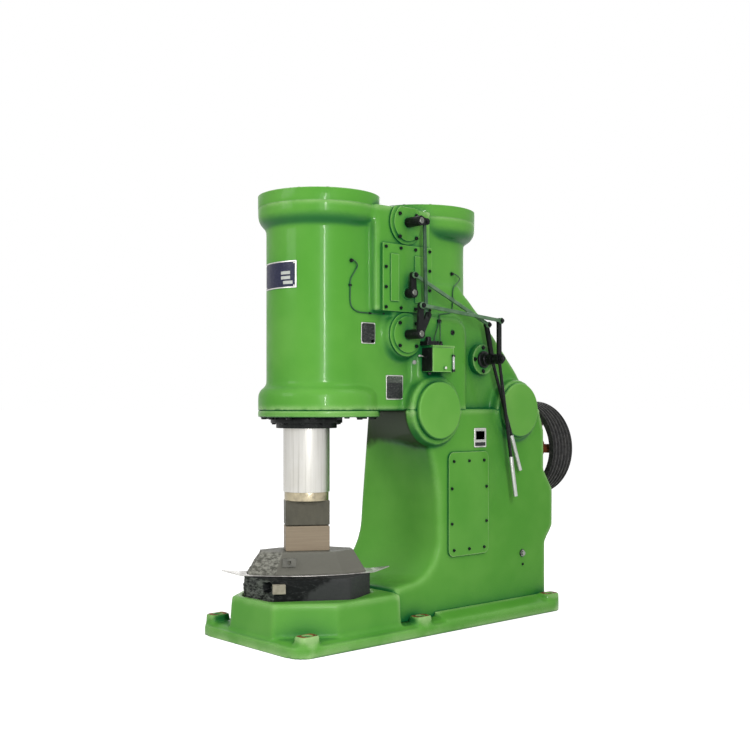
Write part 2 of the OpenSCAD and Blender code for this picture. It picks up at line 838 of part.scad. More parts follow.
lever_z = parting_z + lever_rise;
lever_p = [lever_y, lever_z];
lower_p = [valve_y, lower_valve_z];
upper_p = [valve_y, upper_valve_z];
middle_p = [valve_y, middle_valve_z];
link_low = lower_p + link_low_arm;
link_high = upper_p + [link_arm, 0];
crank_a_pin = lower_p + lower_arm;
crank_b_pin = middle_p + middle_arm;
lever_a_pin = lever_p + lever_a_top;
lever_b_pin = lever_p + lever_b_top;

// Hand lever: hub on the shaft, flat upper arm with the rod's pin, round lower arm down to the grip
module lever(x, top, end, share) {
    difference() {
        union() {
            x_rod(lever_hub_r, x - lever_hub_over, x + bar_t + lever_hub_over, lever_y, lever_z);
            side_extrude(x, x + bar_t) bar_outline(lever_p, lever_p + top, bar_w, bar_w, eye_r);
            x_rod(pin_r, x + bar_t / 2, x + bar_t + rod_t + 2 * pin_side_gap + pin_head_t,
                lever_y + top[0], lever_z + top[1]);
            slant_rod(lever_p, lever_p + end * share, x + bar_t / 2, lever_rod_r);
        }
        x_rod(lever_shaft_r + run_gap, x - lever_hub_over - cut, x + bar_t + lever_hub_over + cut,
            lever_y, lever_z);
    }
}

module grip(x, end, share) {
    slant_rod(lever_p + end * share, lever_p + end, x + bar_t / 2, grip_r);
}

module lever_a() {
    color(black) lever(crank_a_x, lever_a_top, lever_a_end, grip_a_share);
}

module lever_a_grip() {
    color(bare_steel) grip(crank_a_x, lever_a_end, grip_a_share);
}

module lever_b() {
    color(black) lever(lever_b_x, lever_b_top, lever_b_end, grip_b_share);
}

module lever_b_grip() {
    color(bare_steel) grip(lever_b_x, lever_b_end, grip_b_share);
}

// Flat rod between two pins, each eye with its own bore
module tie_rod(p, q, x, bore_p, bore_q) {
    side_extrude(x, x + rod_t) difference() {
        bar_outline(p, q, rod_w, rod_w, eye_r);
        translate(p) circle(r = bore_p);
        translate(q) circle(r = bore_q);
    }
}

module rod_a() {
    color(black) tie_rod(lever_a_pin, crank_a_pin, rod_a_x, pin_bore_r, open_bore_r);
}

module rod_b() {
    color(black) tie_rod(lever_b_pin, crank_b_pin, rod_b_x, pin_bore_r, open_bore_r);
}

module valve_link() {
    color(black) tie_rod(link_low, link_high, link_x, pin_bore_r, open_bore_r);
}

// Shaft of a valve crank, from inside its flange out to the crank's plate
module crank_shaft(p, x1) {
    x_rod(valve_shaft_r, half_w + seat_gap, x1, p[0], p[1]);
    x_rod(valve_hub_r, half_w + valve_flange_t + hub_side_gap, x1 + hub_over, p[0], p[1]);
}

module lower_valve_crank() {
    color(black) {
        crank_shaft(lower_p, crank_a_x + bar_t);
        side_extrude(crank_a_x, crank_a_x + bar_t) {
            bar_outline(lower_p, crank_a_pin, crank_w, crank_eye_w, eye_r);
            bar_outline(lower_p, link_low, crank_w, crank_eye_w, eye_r);
        }
        x_rod(pin_r, crank_a_x + bar_t / 2, rod_a_x + rod_t + pin_side_gap + pin_head_t,
            crank_a_pin[0], crank_a_pin[1]);
        x_rod(pin_r, link_x - pin_side_gap - pin_head_t, crank_a_x + bar_t / 2, link_low[0], link_low[1]);
    }
}

module upper_valve_crank() {
    color(black) {
        crank_shaft(upper_p, crank_a_x + bar_t);
        side_extrude(crank_a_x, crank_a_x + bar_t)
            bar_outline(upper_p, link_high, crank_w, crank_eye_w, eye_r);
        x_rod(pin_r, link_x - pin_side_gap - pin_head_t, crank_a_x + bar_t / 2, link_high[0], link_high[1]);
    }
}

module middle_valve_crank() {
    color(black) {
        crank_shaft(middle_p, lever_b_x + bar_t);
        side_extrude(lever_b_x, lever_b_x + bar_t)
            bar_outline(middle_p, crank_b_pin, crank_w, crank_eye_w, eye_r);
        x_rod(pin_r, lever_b_x + bar_t / 2, rod_b_x + rod_t + pin_side_gap + pin_head_t,
            crank_b_pin[0], crank_b_pin[1]);
    }
}

// Half section of the grooved rim, as [radius, place along the axis]
module rim_section() {
    pitch = pulley_w / groove_count;
    land = pitch * groove_land_share / 2;
    span = 2 / groove_land_share;
    polygon(concat([[pulley_r - rim_t, 0], [pulley_r, 0]],
        [for (i = [0 : groove_count - 1]) for (s = [[0, 1], [1, 2], [1, span - 2], [0, span - 1]])
            [pulley_r - s[0] * groove_depth, i * pitch + s[1] * land]],
        [[pulley_r, pulley_w], [pulley_r - rim_t, pulley_w]]));
}

module pulley() {
    color([0.45, 0.2, 0.12]) translate([0, pulley_y + pulley_w, pulley_z]) rotate([90, 0, 0]) difference() {
        union() {
            rotate_extrude() rim_section();
            cylinder(r = hub_r, h = pulley_w);
            for (i = [0 : spoke_count - 1]) rotate([0, 0, i * 360 / spoke_count])
                translate([0, -spoke_w / 2, (pulley_w - spoke_t) / 2])
                    cube([pulley_r - rim_t + cut, spoke_w, spoke_t]);
        }
        translate([0, 0, -cut]) cylinder(r = pulley_shaft_r + seat_gap, h = pulley_w + 2 * cut);
    }
}

module pulley_shaft() {
    color(bare_steel)
        y_rod(pulley_shaft_r, housing_face_y + seat_gap, pulley_y + pulley_w + shaft_tail, 0, pulley_z);
}

base_casting();
column_casting();
cylinder_block();
working_cylinder_head();
compressor_cylinder_head();
lower_cylinder_cover();
ram_gland();
valve_chest_cover();
upper_valve_flange();
lower_valve_flange();
crank_bearing_cover();
gear_bearing_cover();
inspection_cover();
far_inspection_cover();
lubricator_tank();
lubricator_lid();
lever_bracket();
rear_bearing_housing();
anvil_block();
anvil_wedge();
scale_tray();
sow_block();
sow_key();
lower_die();
ram();
ram_end_ring();
upper_die();
lever_a();
lever_a_grip();
rod_a();
lower_valve_crank();
valve_link();
upper_valve_crank();
lever_b();
lever_b_grip();
rod_b();
middle_valve_crank();
pulley();
pulley_shaft();
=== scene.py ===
"""Looks of the pneumatic forging hammer: enamelled castings, bright ram, rough anvil and its small fittings.

Metres, in the part's own frame: the ram's axis is the Z axis, the front is -Y and the valve side is +X.
"""
import json
import math

import bmesh
import bpy
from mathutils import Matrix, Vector, noise


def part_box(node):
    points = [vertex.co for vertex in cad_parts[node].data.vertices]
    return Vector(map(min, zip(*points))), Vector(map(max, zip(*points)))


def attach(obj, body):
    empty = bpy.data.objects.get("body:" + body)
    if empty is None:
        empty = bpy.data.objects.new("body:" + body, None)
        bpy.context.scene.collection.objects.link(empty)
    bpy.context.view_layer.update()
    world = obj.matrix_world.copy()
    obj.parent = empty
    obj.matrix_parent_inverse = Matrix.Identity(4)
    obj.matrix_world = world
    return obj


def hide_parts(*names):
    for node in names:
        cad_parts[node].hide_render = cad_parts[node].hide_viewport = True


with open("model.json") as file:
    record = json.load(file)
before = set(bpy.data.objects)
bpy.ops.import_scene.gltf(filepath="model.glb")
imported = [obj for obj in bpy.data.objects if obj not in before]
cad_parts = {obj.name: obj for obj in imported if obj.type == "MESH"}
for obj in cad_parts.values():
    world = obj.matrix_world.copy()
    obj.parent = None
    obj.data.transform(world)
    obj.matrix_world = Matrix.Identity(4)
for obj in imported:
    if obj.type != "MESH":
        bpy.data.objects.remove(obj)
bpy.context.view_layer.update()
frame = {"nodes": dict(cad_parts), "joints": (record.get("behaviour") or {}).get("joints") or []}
NODES = frame["nodes"]
PIVOTS = {joint["name"]: Vector(joint["pos_m"]) for joint in frame["joints"] if "pos_m" in joint}

# Directions
VALVE_SIDE = Vector((1, 0, 0))
FAR_SIDE = Vector((-1, 0, 0))
FRONT = Vector((0, -1, 0))
BACK = Vector((0, 1, 0))
UP = Vector((0, 0, 1))
DOWN = Vector((0, 0, -1))
CORNERS = ((1, 1), (-1, 1), (-1, -1), (1, -1))

# Camera
EYE = Vector((6.2956, -4.9695, 1.681))
AZIMUTH = math.radians(48.15)
LENS_MM = 52.752
SENSOR_MM = 36.0
SHIFT_UP = 0.04

# Faces and lines read off the solids
COLUMN_X = 0.447
WALL_X = 0.387
BARREL_AXIS = Vector((0, 0.118, 0))
BARREL_R = 0.387
LUG_TOP = 0.145
PEDESTAL_REAR = 0.457
PEDESTAL_TOP = 0.318

# Reach of the painted edge highlight (partly worn paint) and of the painted shade in corners and recesses
OPEN_EDGE = 0.030
CAST_EDGE = 0.055
COVER_EDGE = 0.012
PLATE_EDGE = 0.007
WIDE_SHADE = 0.30
CLOSE_SHADE = 0.07

# Linear colours
GREEN = (0.084, 0.312, 0.034, 1)
GREEN_LIGHT = (0.116, 0.360, 0.050, 1)
GREEN_WEAR_AND_HIGHLIGHT = (0.340, 0.560, 0.220, 1)
GREEN_PAINTED_SHADE = (0.003, 0.105, 0.030, 1)
THROAT_PAINTED_SHADE = (0.019, 0.040, 0.009, 1)
BLACK = (0.005, 0.006, 0.006, 1)
BLACK_WORN = (0.020, 0.025, 0.022, 1)
RUST = (0.27, 0.105, 0.040, 1)
RUST_DARK = (0.085, 0.030, 0.014, 1)
RED_LEAD = (0.26, 0.055, 0.022, 1)
RED_LEAD_DARK = (0.10, 0.030, 0.016, 1)
RIM_BLACK = (0.012, 0.012, 0.012, 1)
RIM_GREY = (0.040, 0.038, 0.036, 1)
STEEL = (0.62, 0.61, 0.58, 1)
STAIN = (0.11, 0.095, 0.08, 1)
FLOOR_SEEN = (0.80, 0.80, 0.80, 1)
FLOOR_LIT = (0.36, 0.36, 0.36, 1)


class Shader:
    """A material with a Principled shader, and short ways to add the nodes that feed it."""

    def __init__(self, name, **sockets):
        self.material = bpy.data.materials.new(name)
        self.material.use_nodes = True
        self.tree = self.material.node_tree
        self.bsdf = self.tree.nodes["Principled BSDF"]
        coordinates = self.node("ShaderNodeTexCoord")
        self.place = coordinates.outputs["Object"]
        self.normal = coordinates.outputs["Normal"]
        for socket, value in sockets.items():
            self.bsdf.inputs[socket.replace("_", " ")].default_value = value

    def node(self, kind, sockets=None, **options):
        """A new node; its sockets are given by name or number, each with a value or another socket."""
        made = self.tree.nodes.new(kind)
        for option, value in options.items():
            setattr(made, option, value)
        for socket, value in (sockets or {}).items():
            self.put(made.inputs[socket], value)
        return made

    def put(self, socket, value):
        if isinstance(value, bpy.types.NodeSocket):
            self.tree.links.new(value, socket)
        else:
            socket.default_value = value

    def stretched(self, scale):
        return self.node("ShaderNodeMapping", {"Vector": self.place, "Scale": scale}).outputs["Vector"]

    def noise(self, scale, detail=4.0, rough=0.55, place=None):
        sockets = {"Vector": place or self.place, "Scale": scale, "Detail": detail, "Roughness": rough}
        return self.node("ShaderNodeTexNoise", sockets).outputs["Fac"]

    def cells(self, scale):
        return self.node("ShaderNodeTexVoronoi", {"Vector": self.place, "Scale": scale}).outputs["Distance"]

    def steps(self, value, low, high, out_low=0.0, out_high=1.0):
        """Value carried smoothly from the span low..high to out_low..out_high."""
        sockets = {"Value": value, "From Min": low, "From Max": high, "To Min": out_low, "To Max": out_high}
        return self.node("ShaderNodeMapRange", sockets, interpolation_type="SMOOTHSTEP").outputs["Result"]

    def calc(self, operation, a, b, clamp=False):
        return self.node("ShaderNodeMath", {0: a, 1: b}, operation=operation, use_clamp=clamp).outputs[0]

    def both(self, *shares):
        """Product of several shares."""
        result = shares[0]
        for share in shares[1:]:
            result = self.calc("MULTIPLY", result, share, True)
        return result

    def mix(self, share, a, b):
        return self.node("ShaderNodeMix", {0: share, 6: a, 7: b}, data_type="RGBA").outputs[2]

    def axes(self):
        return self.node("ShaderNodeSeparateXYZ", {0: self.place}).outputs

    def along(self, vector, way):
        """Dot product of a vector and a fixed direction."""
        made = self.node("ShaderNodeVectorMath", {0: vector, 1: way}, operation="DOT_PRODUCT")
        return made.outputs["Value"]

    def facing(self, way):
        """How far the surface faces a direction, from -1 to 1."""
        return self.along(self.normal, way)

    def shelter(self, reach, **options):
        """1 where nothing is within reach and 0 where the surface is closed in."""
        made = self.node("ShaderNodeAmbientOcclusion", {"Distance": reach}, samples=6, **options)
        return made.outputs["AO"]

    def shade(self, reach, own=False):
        """1 in the open and 0 deep in a recess, of its own piece alone or of any."""
        return self.shelter(reach, only_local=own)

    def edge(self, reach):
        """1 along a sharp edge and 0 on the flat."""
        return self.steps(self.shelter(reach, inside=True, only_local=True), 0.60, 0.92, 1.0, 0.0)

    def bump(self, height, strength, depth, under=None):
        made = self.node("ShaderNodeBump", {"Strength": strength, "Distance": depth, "Height": height})
        if under is not None:
            self.put(made.inputs["Normal"], under)
        return made.outputs["Normal"]

    def finish(self, colour, rough=None, normal=None):
        self.put(self.bsdf.inputs["Base Color"], colour)
        if rough is not None:
            self.put(self.bsdf.inputs["Roughness"], rough)
        if normal is not None:
            self.put(self.bsdf.inputs["Normal"], normal)
        return self.material


def enamel_colour(s, low=GREEN, high=GREEN_LIGHT, reach=OPEN_EDGE, own=False):
    """Green enamel, a little uneven, with a painted highlight (partly worn paint) on open edges, and painted
    shade in recesses, in tight corners and on undersides.
    """
    tone = s.mix(s.steps(s.noise(1.6, 3.0), 0.35, 0.68), low, high)
    wide = s.shade(WIDE_SHADE, own)
    patchy = s.steps(s.noise(4.0, 3.0), 0.3, 0.6, 0.35, 1.0)
    # Pale open edges: a painted highlight where light would catch the rounded edges, made patchy like worn
    # paint
    rubbed_and_highlit = s.both(s.edge(reach), s.steps(wide, 0.55, 0.95), patchy)
    tone = s.mix(rubbed_and_highlit, tone, GREEN_WEAR_AND_HIGHLIGHT)
    # Painted shade: deeper green where other parts close in within the wide reach
    tone = s.mix(s.steps(wide, 0.42, 0.96, 0.88, 0.0), tone, GREEN_PAINTED_SHADE)
    # Painted shade on surfaces that face downwards
    tone = s.mix(s.steps(s.facing(DOWN), 0.05, 0.70, 0.0, 0.80), tone, GREEN_PAINTED_SHADE)
    # Painted shade in tight corners and creases
    close = s.steps(s.shade(CLOSE_SHADE, own), 0.30, 0.90, 0.80, 0.0)
    return s.mix(close, tone, GREEN_PAINTED_SHADE)


def enamel_skin(s):
    """Sand-cast skin under paint: long waves and a fine orange peel."""
    waves = s.bump(s.noise(5.0, 2.0), 0.12, 0.006)
    return s.bump(s.noise(150.0, 2.0), 0.05, 0.0008, waves)


def enamel_shader(name, coat=0.11):
    return Shader(name, Coat_Weight=coat, Coat_Roughness=0.08, Specular_IOR_Level=0.07)


def enamel_rough(s):
    return s.steps(s.noise(9.0, 4.0), 0.3, 0.7, 0.30, 0.44)


def make_enamel(name, low=GREEN, high=GREEN_LIGHT, reach=OPEN_EDGE):
    s = enamel_shader(name)
    return s.finish(enamel_colour(s, low, high, reach), enamel_rough(s), enamel_skin(s))


def make_base_enamel(name):
    """The base's enamel, worn to rust on the lugs' tops."""
    s = enamel_shader(name)
    height = s.axes()[2]
    near, far = 0.003, 0.006
    above = s.steps(height, LUG_TOP - far, LUG_TOP - near)
    below = s.steps(height, LUG_TOP + near, LUG_TOP + far, 1, 0)
    upward = s.steps(s.facing(UP), 0.3, 0.7)
    worn = s.both(above, below, upward, s.steps(s.noise(9.0, 5.0), 0.28, 0.42))
    rust = s.mix(s.steps(s.noise(45.0, 5.0), 0.35, 0.65), RUST_DARK, RUST)
    rough = s.steps(worn, 0.0, 1.0, 0.36, 0.85)
    return s.finish(s.mix(worn, enamel_colour(s, reach=CAST_EDGE, own=True), rust), rough, enamel_skin(s))


def make_column_enamel(name):
    """The column's enamel, with dark painted shade in the top of the throat."""
    s = enamel_shader(name, 0.04)
    x, y, z = s.axes()
    painted_shade_low, painted_shade_high = 1.335, 1.405
    throat_back, behind_throat = 0.98, 1.05
    wall_inside, wall_face = 0.425, 0.445
    wavy = s.calc("ADD", z, s.steps(s.noise(3.0, 3.0), 0.3, 0.7, -0.03, 0.03))
    inside = s.both(s.steps(y, throat_back, behind_throat, 1, 0), s.steps(x, wall_inside, wall_face, 1, 0))
    off_side = s.steps(s.facing(VALVE_SIDE), 0.6, 0.85, 1, 0)
    # Painted shade: dark and rougher above a wavy height, inside the throat and off the valve-side face
    throat_painted_shade = s.both(s.steps(wavy, painted_shade_low, painted_shade_high), inside, off_side)
    rough = s.steps(throat_painted_shade, 0.0, 1.0, 0.36, 0.6)
    return s.finish(s.mix(throat_painted_shade, enamel_colour(s, reach=CAST_EDGE), THROAT_PAINTED_SHADE), rough, enamel_skin(s))


def black_colour(s):
    return s.mix(s.steps(s.noise(30.0, 5.0), 0.52, 0.75), BLACK, BLACK_WORN)


def make_black(name):
    """Black paint on turned steel, thin on the high spots."""
    s = Shader(name, Specular_IOR_Level=0.15)
    rough = s.steps(s.noise(60.0, 3.0), 0.3, 0.7, 0.32, 0.5)
    return s.finish(black_colour(s), rough, s.bump(s.noise(220.0, 2.0), 0.1, 0.0005))


def make_bracket(name, face_x):
    """Enamelled flange with a black shaft."""
    s = enamel_shader(name)
    colour = s.mix(s.steps(s.axes()[0], face_x + 0.001, face_x + 0.003), enamel_colour(s), black_colour(s))
    return s.finish(colour, enamel_rough(s), enamel_skin(s))


def make_link_paint(name, deep, pale):
    """Thin green-grey paint of a rod."""
    s = Shader(name, Specular_IOR_Level=0.3)
    tone = s.mix(s.steps(s.noise(14.0, 4.0), 0.35, 0.65), deep, pale)
    rough = s.steps(s.noise(60.0, 3.0), 0.3, 0.7, 0.3, 0.46)
    return s.finish(tone, rough, s.bump(s.noise(220.0, 2.0), 0.08, 0.0005))


def make_ram(name):
    """Ground steel: fine streaks along the stroke and a trace of oil film."""
    s = Shader(name, Metallic=0.85, Specular_IOR_Level=0.3)
    streaks = s.noise(1.0, 4.0, place=s.stretched((120.0, 120.0, 1.2)))
    film = s.steps(s.noise(3.0, 4.0), 0.4, 0.7, 0.0, 0.6)
    rough = s.steps(streaks, 0.3, 0.7, 0.30, 0.42)
    tone = s.mix(film, (0.54, 0.53, 0.50, 1), (0.47, 0.45, 0.40, 1))
    tone = s.mix(s.steps(streaks, 0.50, 0.72, 0.0, 0.55), tone, (0.30, 0.29, 0.26, 1))
    return s.finish(tone, rough, s.bump(streaks, 0.05, 0.0004))


def make_steel(name, tint=STEEL, dark=0.35):
    """Machined steel with dull stains."""
    s = Shader(name, Metallic=0.9)
    stain = s.steps(s.noise(18.0, 5.0), 0.45, 0.72, 0.0, dark)
    rough = s.steps(s.noise(70.0, 4.0), 0.3, 0.7, 0.28, 0.48)
    return s.finish(s.mix(stain, tint, STAIN), rough, s.bump(s.noise(260.0, 3.0), 0.12, 0.0005))


def make_die(name, pale, deep, across, along):
    """Forged die steel with streaks of scale."""
    s = Shader(name, Specular_IOR_Level=0.2)
    streak = s.noise(1.0, 5.0, place=s.stretched((across, across, along)))
    tone = s.mix(s.steps(streak, 0.32, 0.66), deep, pale)
    rough = s.steps(s.noise(40.0, 4.0), 0.3, 0.7, 0.42, 0.6)
    return s.finish(tone, rough, s.bump(streak, 0.15, 0.0008))


def make_forged(name, pale, deep, smooth, fine, split=False):
    """Forged block: pitted and scaly on its broken sides, duller and even on the rest."""
    s = Shader(name, Specular_IOR_Level=0.12)
    grain = s.noise(1.0, 8.0, 0.7, s.stretched((fine, fine, 2.2 * fine)))
    broken = s.steps(s.facing(BROKEN_WAY), 0.1, 0.45)
    if split:
        # On one side of a slanting plane, the even sides take the dark grainy tone as well
        wander = s.steps(s.noise(9.0), 0.3, 0.7, -0.04, 0.04)
        ragged = s.calc("ADD", s.along(s.place, SPLIT_WAY), wander)
        dark_past_split = s.mix(s.steps(grain, 0.50, 0.75), deep, smooth)
        smooth = s.mix(s.steps(ragged, SPLIT_AT - 0.03, SPLIT_AT + 0.05), dark_past_split, smooth)
    tone = s.mix(broken, smooth, s.mix(s.steps(grain, 0.40, 0.62), deep, pale))
    rough = s.steps(grain, 0.3, 0.7, 0.7, 0.5)
    pits = s.bump(s.cells(34.0), 0.2, 0.005)
    return s.finish(tone, rough, s.bump(s.noise(80.0, 6.0, 0.65), 0.3, 0.003, pits))


def make_pulley(name, centre, rim_r):
    """Cast pulley: black grooved rim, red-lead paint on the web and hub."""
    s = Shader(name, Specular_IOR_Level=0.4)
    axes = s.axes()
    across = s.node("ShaderNodeCombineXYZ", {0: axes[0], 1: s.calc("SUBTRACT", axes[2], centre.z)})
    length = s.node("ShaderNodeVectorMath", {0: across.outputs[0]}, operation="LENGTH")
    outer = s.steps(length.outputs["Value"], rim_r - 0.004, rim_r + 0.002)
    red = s.mix(s.steps(s.noise(16.0, 5.0), 0.35, 0.7), RED_LEAD, RED_LEAD_DARK)
    black = s.mix(s.steps(s.noise(30.0, 5.0), 0.4, 0.7), RIM_BLACK, RIM_GREY)
    rough = s.steps(s.noise(35.0, 4.0), 0.3, 0.7, 0.45, 0.7)
    return s.finish(s.mix(outer, red, black), rough, s.bump(s.noise(90.0, 4.0), 0.25, 0.001))


def make_print(name, pale, deep):
    """Printed plate face, dark with a pale mottle."""
    s = Shader(name, Specular_IOR_Level=0.2)
    mottle = s.steps(s.noise(1.0, 6.0, 0.7, s.stretched((60.0, 60.0, 190.0))), 0.5, 0.7)
    return s.finish(s.mix(mottle, deep, pale), s.steps(s.noise(40.0), 0.3, 0.7, 0.3, 0.45))


def make_glass(name):
    """Milky sight tube."""
    s = Shader(name, Coat_Weight=0.6, Coat_Roughness=0.05)
    tone = s.mix(s.steps(s.noise(30.0), 0.3, 0.7), (0.40, 0.42, 0.40, 1), (0.55, 0.56, 0.55, 1))
    return s.finish(tone, 0.2)


PULLEY_LOW, PULLEY_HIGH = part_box("pulley")
RIM_DEPTH = 0.052
RIM_INNER_R = (PULLEY_HIGH.z - PULLEY_LOW.z) / 2 - RIM_DEPTH
BRACKET_FLANGE = 0.050
BRACKET_FACE_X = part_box("lever_bracket")[0].x + BRACKET_FLANGE
CYLINDER_HEADS = ("working_cylinder_head", "compressor_cylinder_head")
BROKEN_WAY = Vector((-0.53, -0.848, 0))
SPLIT_WAY = Vector((0.53, 0.848, -1.2))
SPLIT_AT = -0.44

ENAMEL = make_enamel("green_enamel")
COVER_ENAMEL = make_enamel("cover_enamel", GREEN_LIGHT, (0.165, 0.420, 0.075, 1), COVER_EDGE)
PLATE_ENAMEL = make_enamel("plate_enamel", reach=PLATE_EDGE)
CAST_ENAMEL = make_enamel("cast_enamel", reach=CAST_EDGE)
BASE_ENAMEL = make_base_enamel("base_enamel")
COLUMN_ENAMEL = make_column_enamel("column_enamel")
BLACK_PAINT = make_black("black_paint")
BRACKET_PAINT = make_bracket("bracket_paint", BRACKET_FACE_X)
LINK_PAINT = make_link_paint("link_paint", (0.018, 0.050, 0.026, 1), (0.045, 0.105, 0.055, 1))
ROD_PAINT = make_link_paint("rod_paint", (0.055, 0.130, 0.060, 1), (0.110, 0.200, 0.110, 1))
RAM_STEEL = make_ram("ground_steel")
BRIGHT = make_steel("bright_steel")
TRAY_STEEL = make_steel("tray_steel", (0.42, 0.41, 0.39, 1), 0.6)
RING_STEEL = make_steel("ring_steel", (0.40, 0.35, 0.24, 1), 0.5)
PLUG_STEEL = make_steel("plug_steel", (0.26, 0.27, 0.25, 1), 0.5)
GRIP_STEEL = make_steel("grip_steel", (0.44, 0.45, 0.43, 1), 0.3)
PIPE_METAL = make_steel("pipe_metal", (0.16, 0.17, 0.15, 1), 0.5)
LOWER_DIE = make_die("lower_die_steel", (0.272, 0.219, 0.152, 1), (0.236, 0.186, 0.128, 1), 3.0, 160.0)
UPPER_DIE = make_die("upper_die_steel", (0.086, 0.081, 0.058, 1), (0.066, 0.062, 0.045, 1), 14.0, 6.0)
ANVIL_STEEL = make_forged("anvil_steel", (0.10, 0.11, 0.095, 1), (0.002, 0.003, 0.003, 1),
                          (0.036, 0.038, 0.038, 1), 24.0, True)
SOW_STEEL = make_forged("sow_steel", (0.28, 0.28, 0.24, 1), (0.09, 0.09, 0.075, 1),
                        (0.150, 0.148, 0.124, 1), 26.0)
WEDGE_STEEL = make_die("wedge_steel", (0.33, 0.30, 0.23, 1), (0.22, 0.20, 0.15, 1), 20.0, 20.0)
KEY_STEEL = make_die("key_steel", (0.165, 0.163, 0.14, 1), (0.11, 0.11, 0.095, 1), 20.0, 20.0)
PULLEY_IRON = make_pulley("pulley_iron", (PULLEY_LOW + PULLEY_HIGH) / 2, RIM_INNER_R)
PLATE_NAVY = make_print("plate_navy", (0.045, 0.050, 0.095, 1), (0.012, 0.014, 0.042, 1))
PLATE_DARK = make_print("plate_dark", (0.12, 0.13, 0.12, 1), (0.016, 0.018, 0.018, 1))
PLATE_GREY = make_print("plate_grey", (0.30, 0.34, 0.28, 1), (0.055, 0.065, 0.055, 1))
PLATE_PALE = make_print("plate_pale", (0.36, 0.40, 0.34, 1), (0.52, 0.54, 0.50, 1))
SIGHT_GLASS = make_glass("sight_glass")

FINISHES = {
    "base_casting": BASE_ENAMEL, "column_casting": COLUMN_ENAMEL, "anvil_block": ANVIL_STEEL,
    "anvil_wedge": WEDGE_STEEL, "scale_tray": TRAY_STEEL, "sow_block": SOW_STEEL, "sow_key": KEY_STEEL,
    "lower_die": LOWER_DIE, "ram": RAM_STEEL, "ram_end_ring": RING_STEEL, "upper_die": UPPER_DIE,
    "ram_gland": BLACK_PAINT, "lever_bracket": BRACKET_PAINT, "lever_a": BLACK_PAINT, "lever_b": BLACK_PAINT,
    "lever_a_grip": GRIP_STEEL, "lever_b_grip": GRIP_STEEL, "rod_a": ROD_PAINT, "rod_b": ROD_PAINT,
    "valve_link": LINK_PAINT, "lower_valve_crank": BLACK_PAINT, "upper_valve_crank": BLACK_PAINT,
    "middle_valve_crank": BLACK_PAINT, "pulley": PULLEY_IRON, "pulley_shaft": BRIGHT,
    "inspection_cover": PLATE_ENAMEL, "far_inspection_cover": PLATE_ENAMEL, "valve_chest_cover": PLATE_ENAMEL,
    "upper_valve_flange": PLATE_ENAMEL, "lower_valve_flange": PLATE_ENAMEL, "lubricator_lid": PLATE_ENAMEL,
    "crank_bearing_cover": COVER_ENAMEL, "gear_bearing_cover": COVER_ENAMEL, "lubricator_tank": COVER_ENAMEL,
}
ROUNDING = {
    "lower_cylinder_cover": 0.008, "crank_bearing_cover": 0.010, "gear_bearing_cover": 0.010,
    "lower_die": 0.006, "upper_die": 0.006,
}
SMALL_ROUNDING = 0.003
HEAD_ROUNDING = 0.004
WELD_GAP = 0.00002
ROUNDED_ANGLE = math.radians(35)


def round_edges(piece, width):
    weld = piece.modifiers.new("weld", "WELD")
    weld.merge_threshold = WELD_GAP
    bevel = piece.modifiers.new("rounding", "BEVEL")
    bevel.width = width
    bevel.segments = 3
    bevel.limit_method = "ANGLE"
    bevel.angle_limit = ROUNDED_ANGLE
    bevel.harden_normals = True


for name, piece in NODES.items():
    piece.data.materials.clear()
    piece.data.materials.append(FINISHES.get(name, ENAMEL))
    round_edges(piece, ROUNDING.get(name, SMALL_ROUNDING))


def add_object(name, data):
    made = bpy.data.objects.new(name, data)
    bpy.context.scene.collection.objects.link(made)
    return made


def hex_share(turn):
    """Radius of a hexagon at a turn, as a share of its corner radius."""
    sixth = math.pi / 3
    return math.cos(sixth / 2) / math.cos(turn % sixth - sixth / 2)


def round_outline(half_w, half_h, corner, steps=5):
    """Points round a rectangle with round corners."""
    points = []
    for quarter, (a, b) in enumerate(CORNERS):
        for step in range(steps + 1):
            turn = (quarter + step / steps) * math.pi / 2
            across = a * (half_w - corner) + corner * math.cos(turn)
            up = b * (half_h - corner) + corner * math.sin(turn)
            points.append((across, up))
    return points


def smooth_line(points, steps=8):
    """Catmull-Rom line through the points."""
    ends = [points[0] * 2 - points[1], *points, points[-1] * 2 - points[-2]]
    line = []
    for a, b, c, d in zip(ends, ends[1:], ends[2:], ends[3:]):
        for step in range(steps):
            t = step / steps
            bend = (2 * a - 5 * b + 4 * c - d) * t * t + (3 * b - a - 3 * c + d) * t ** 3
            line.append(0.5 * (2 * b + (c - a) * t + bend))
    return line + [points[-1]]


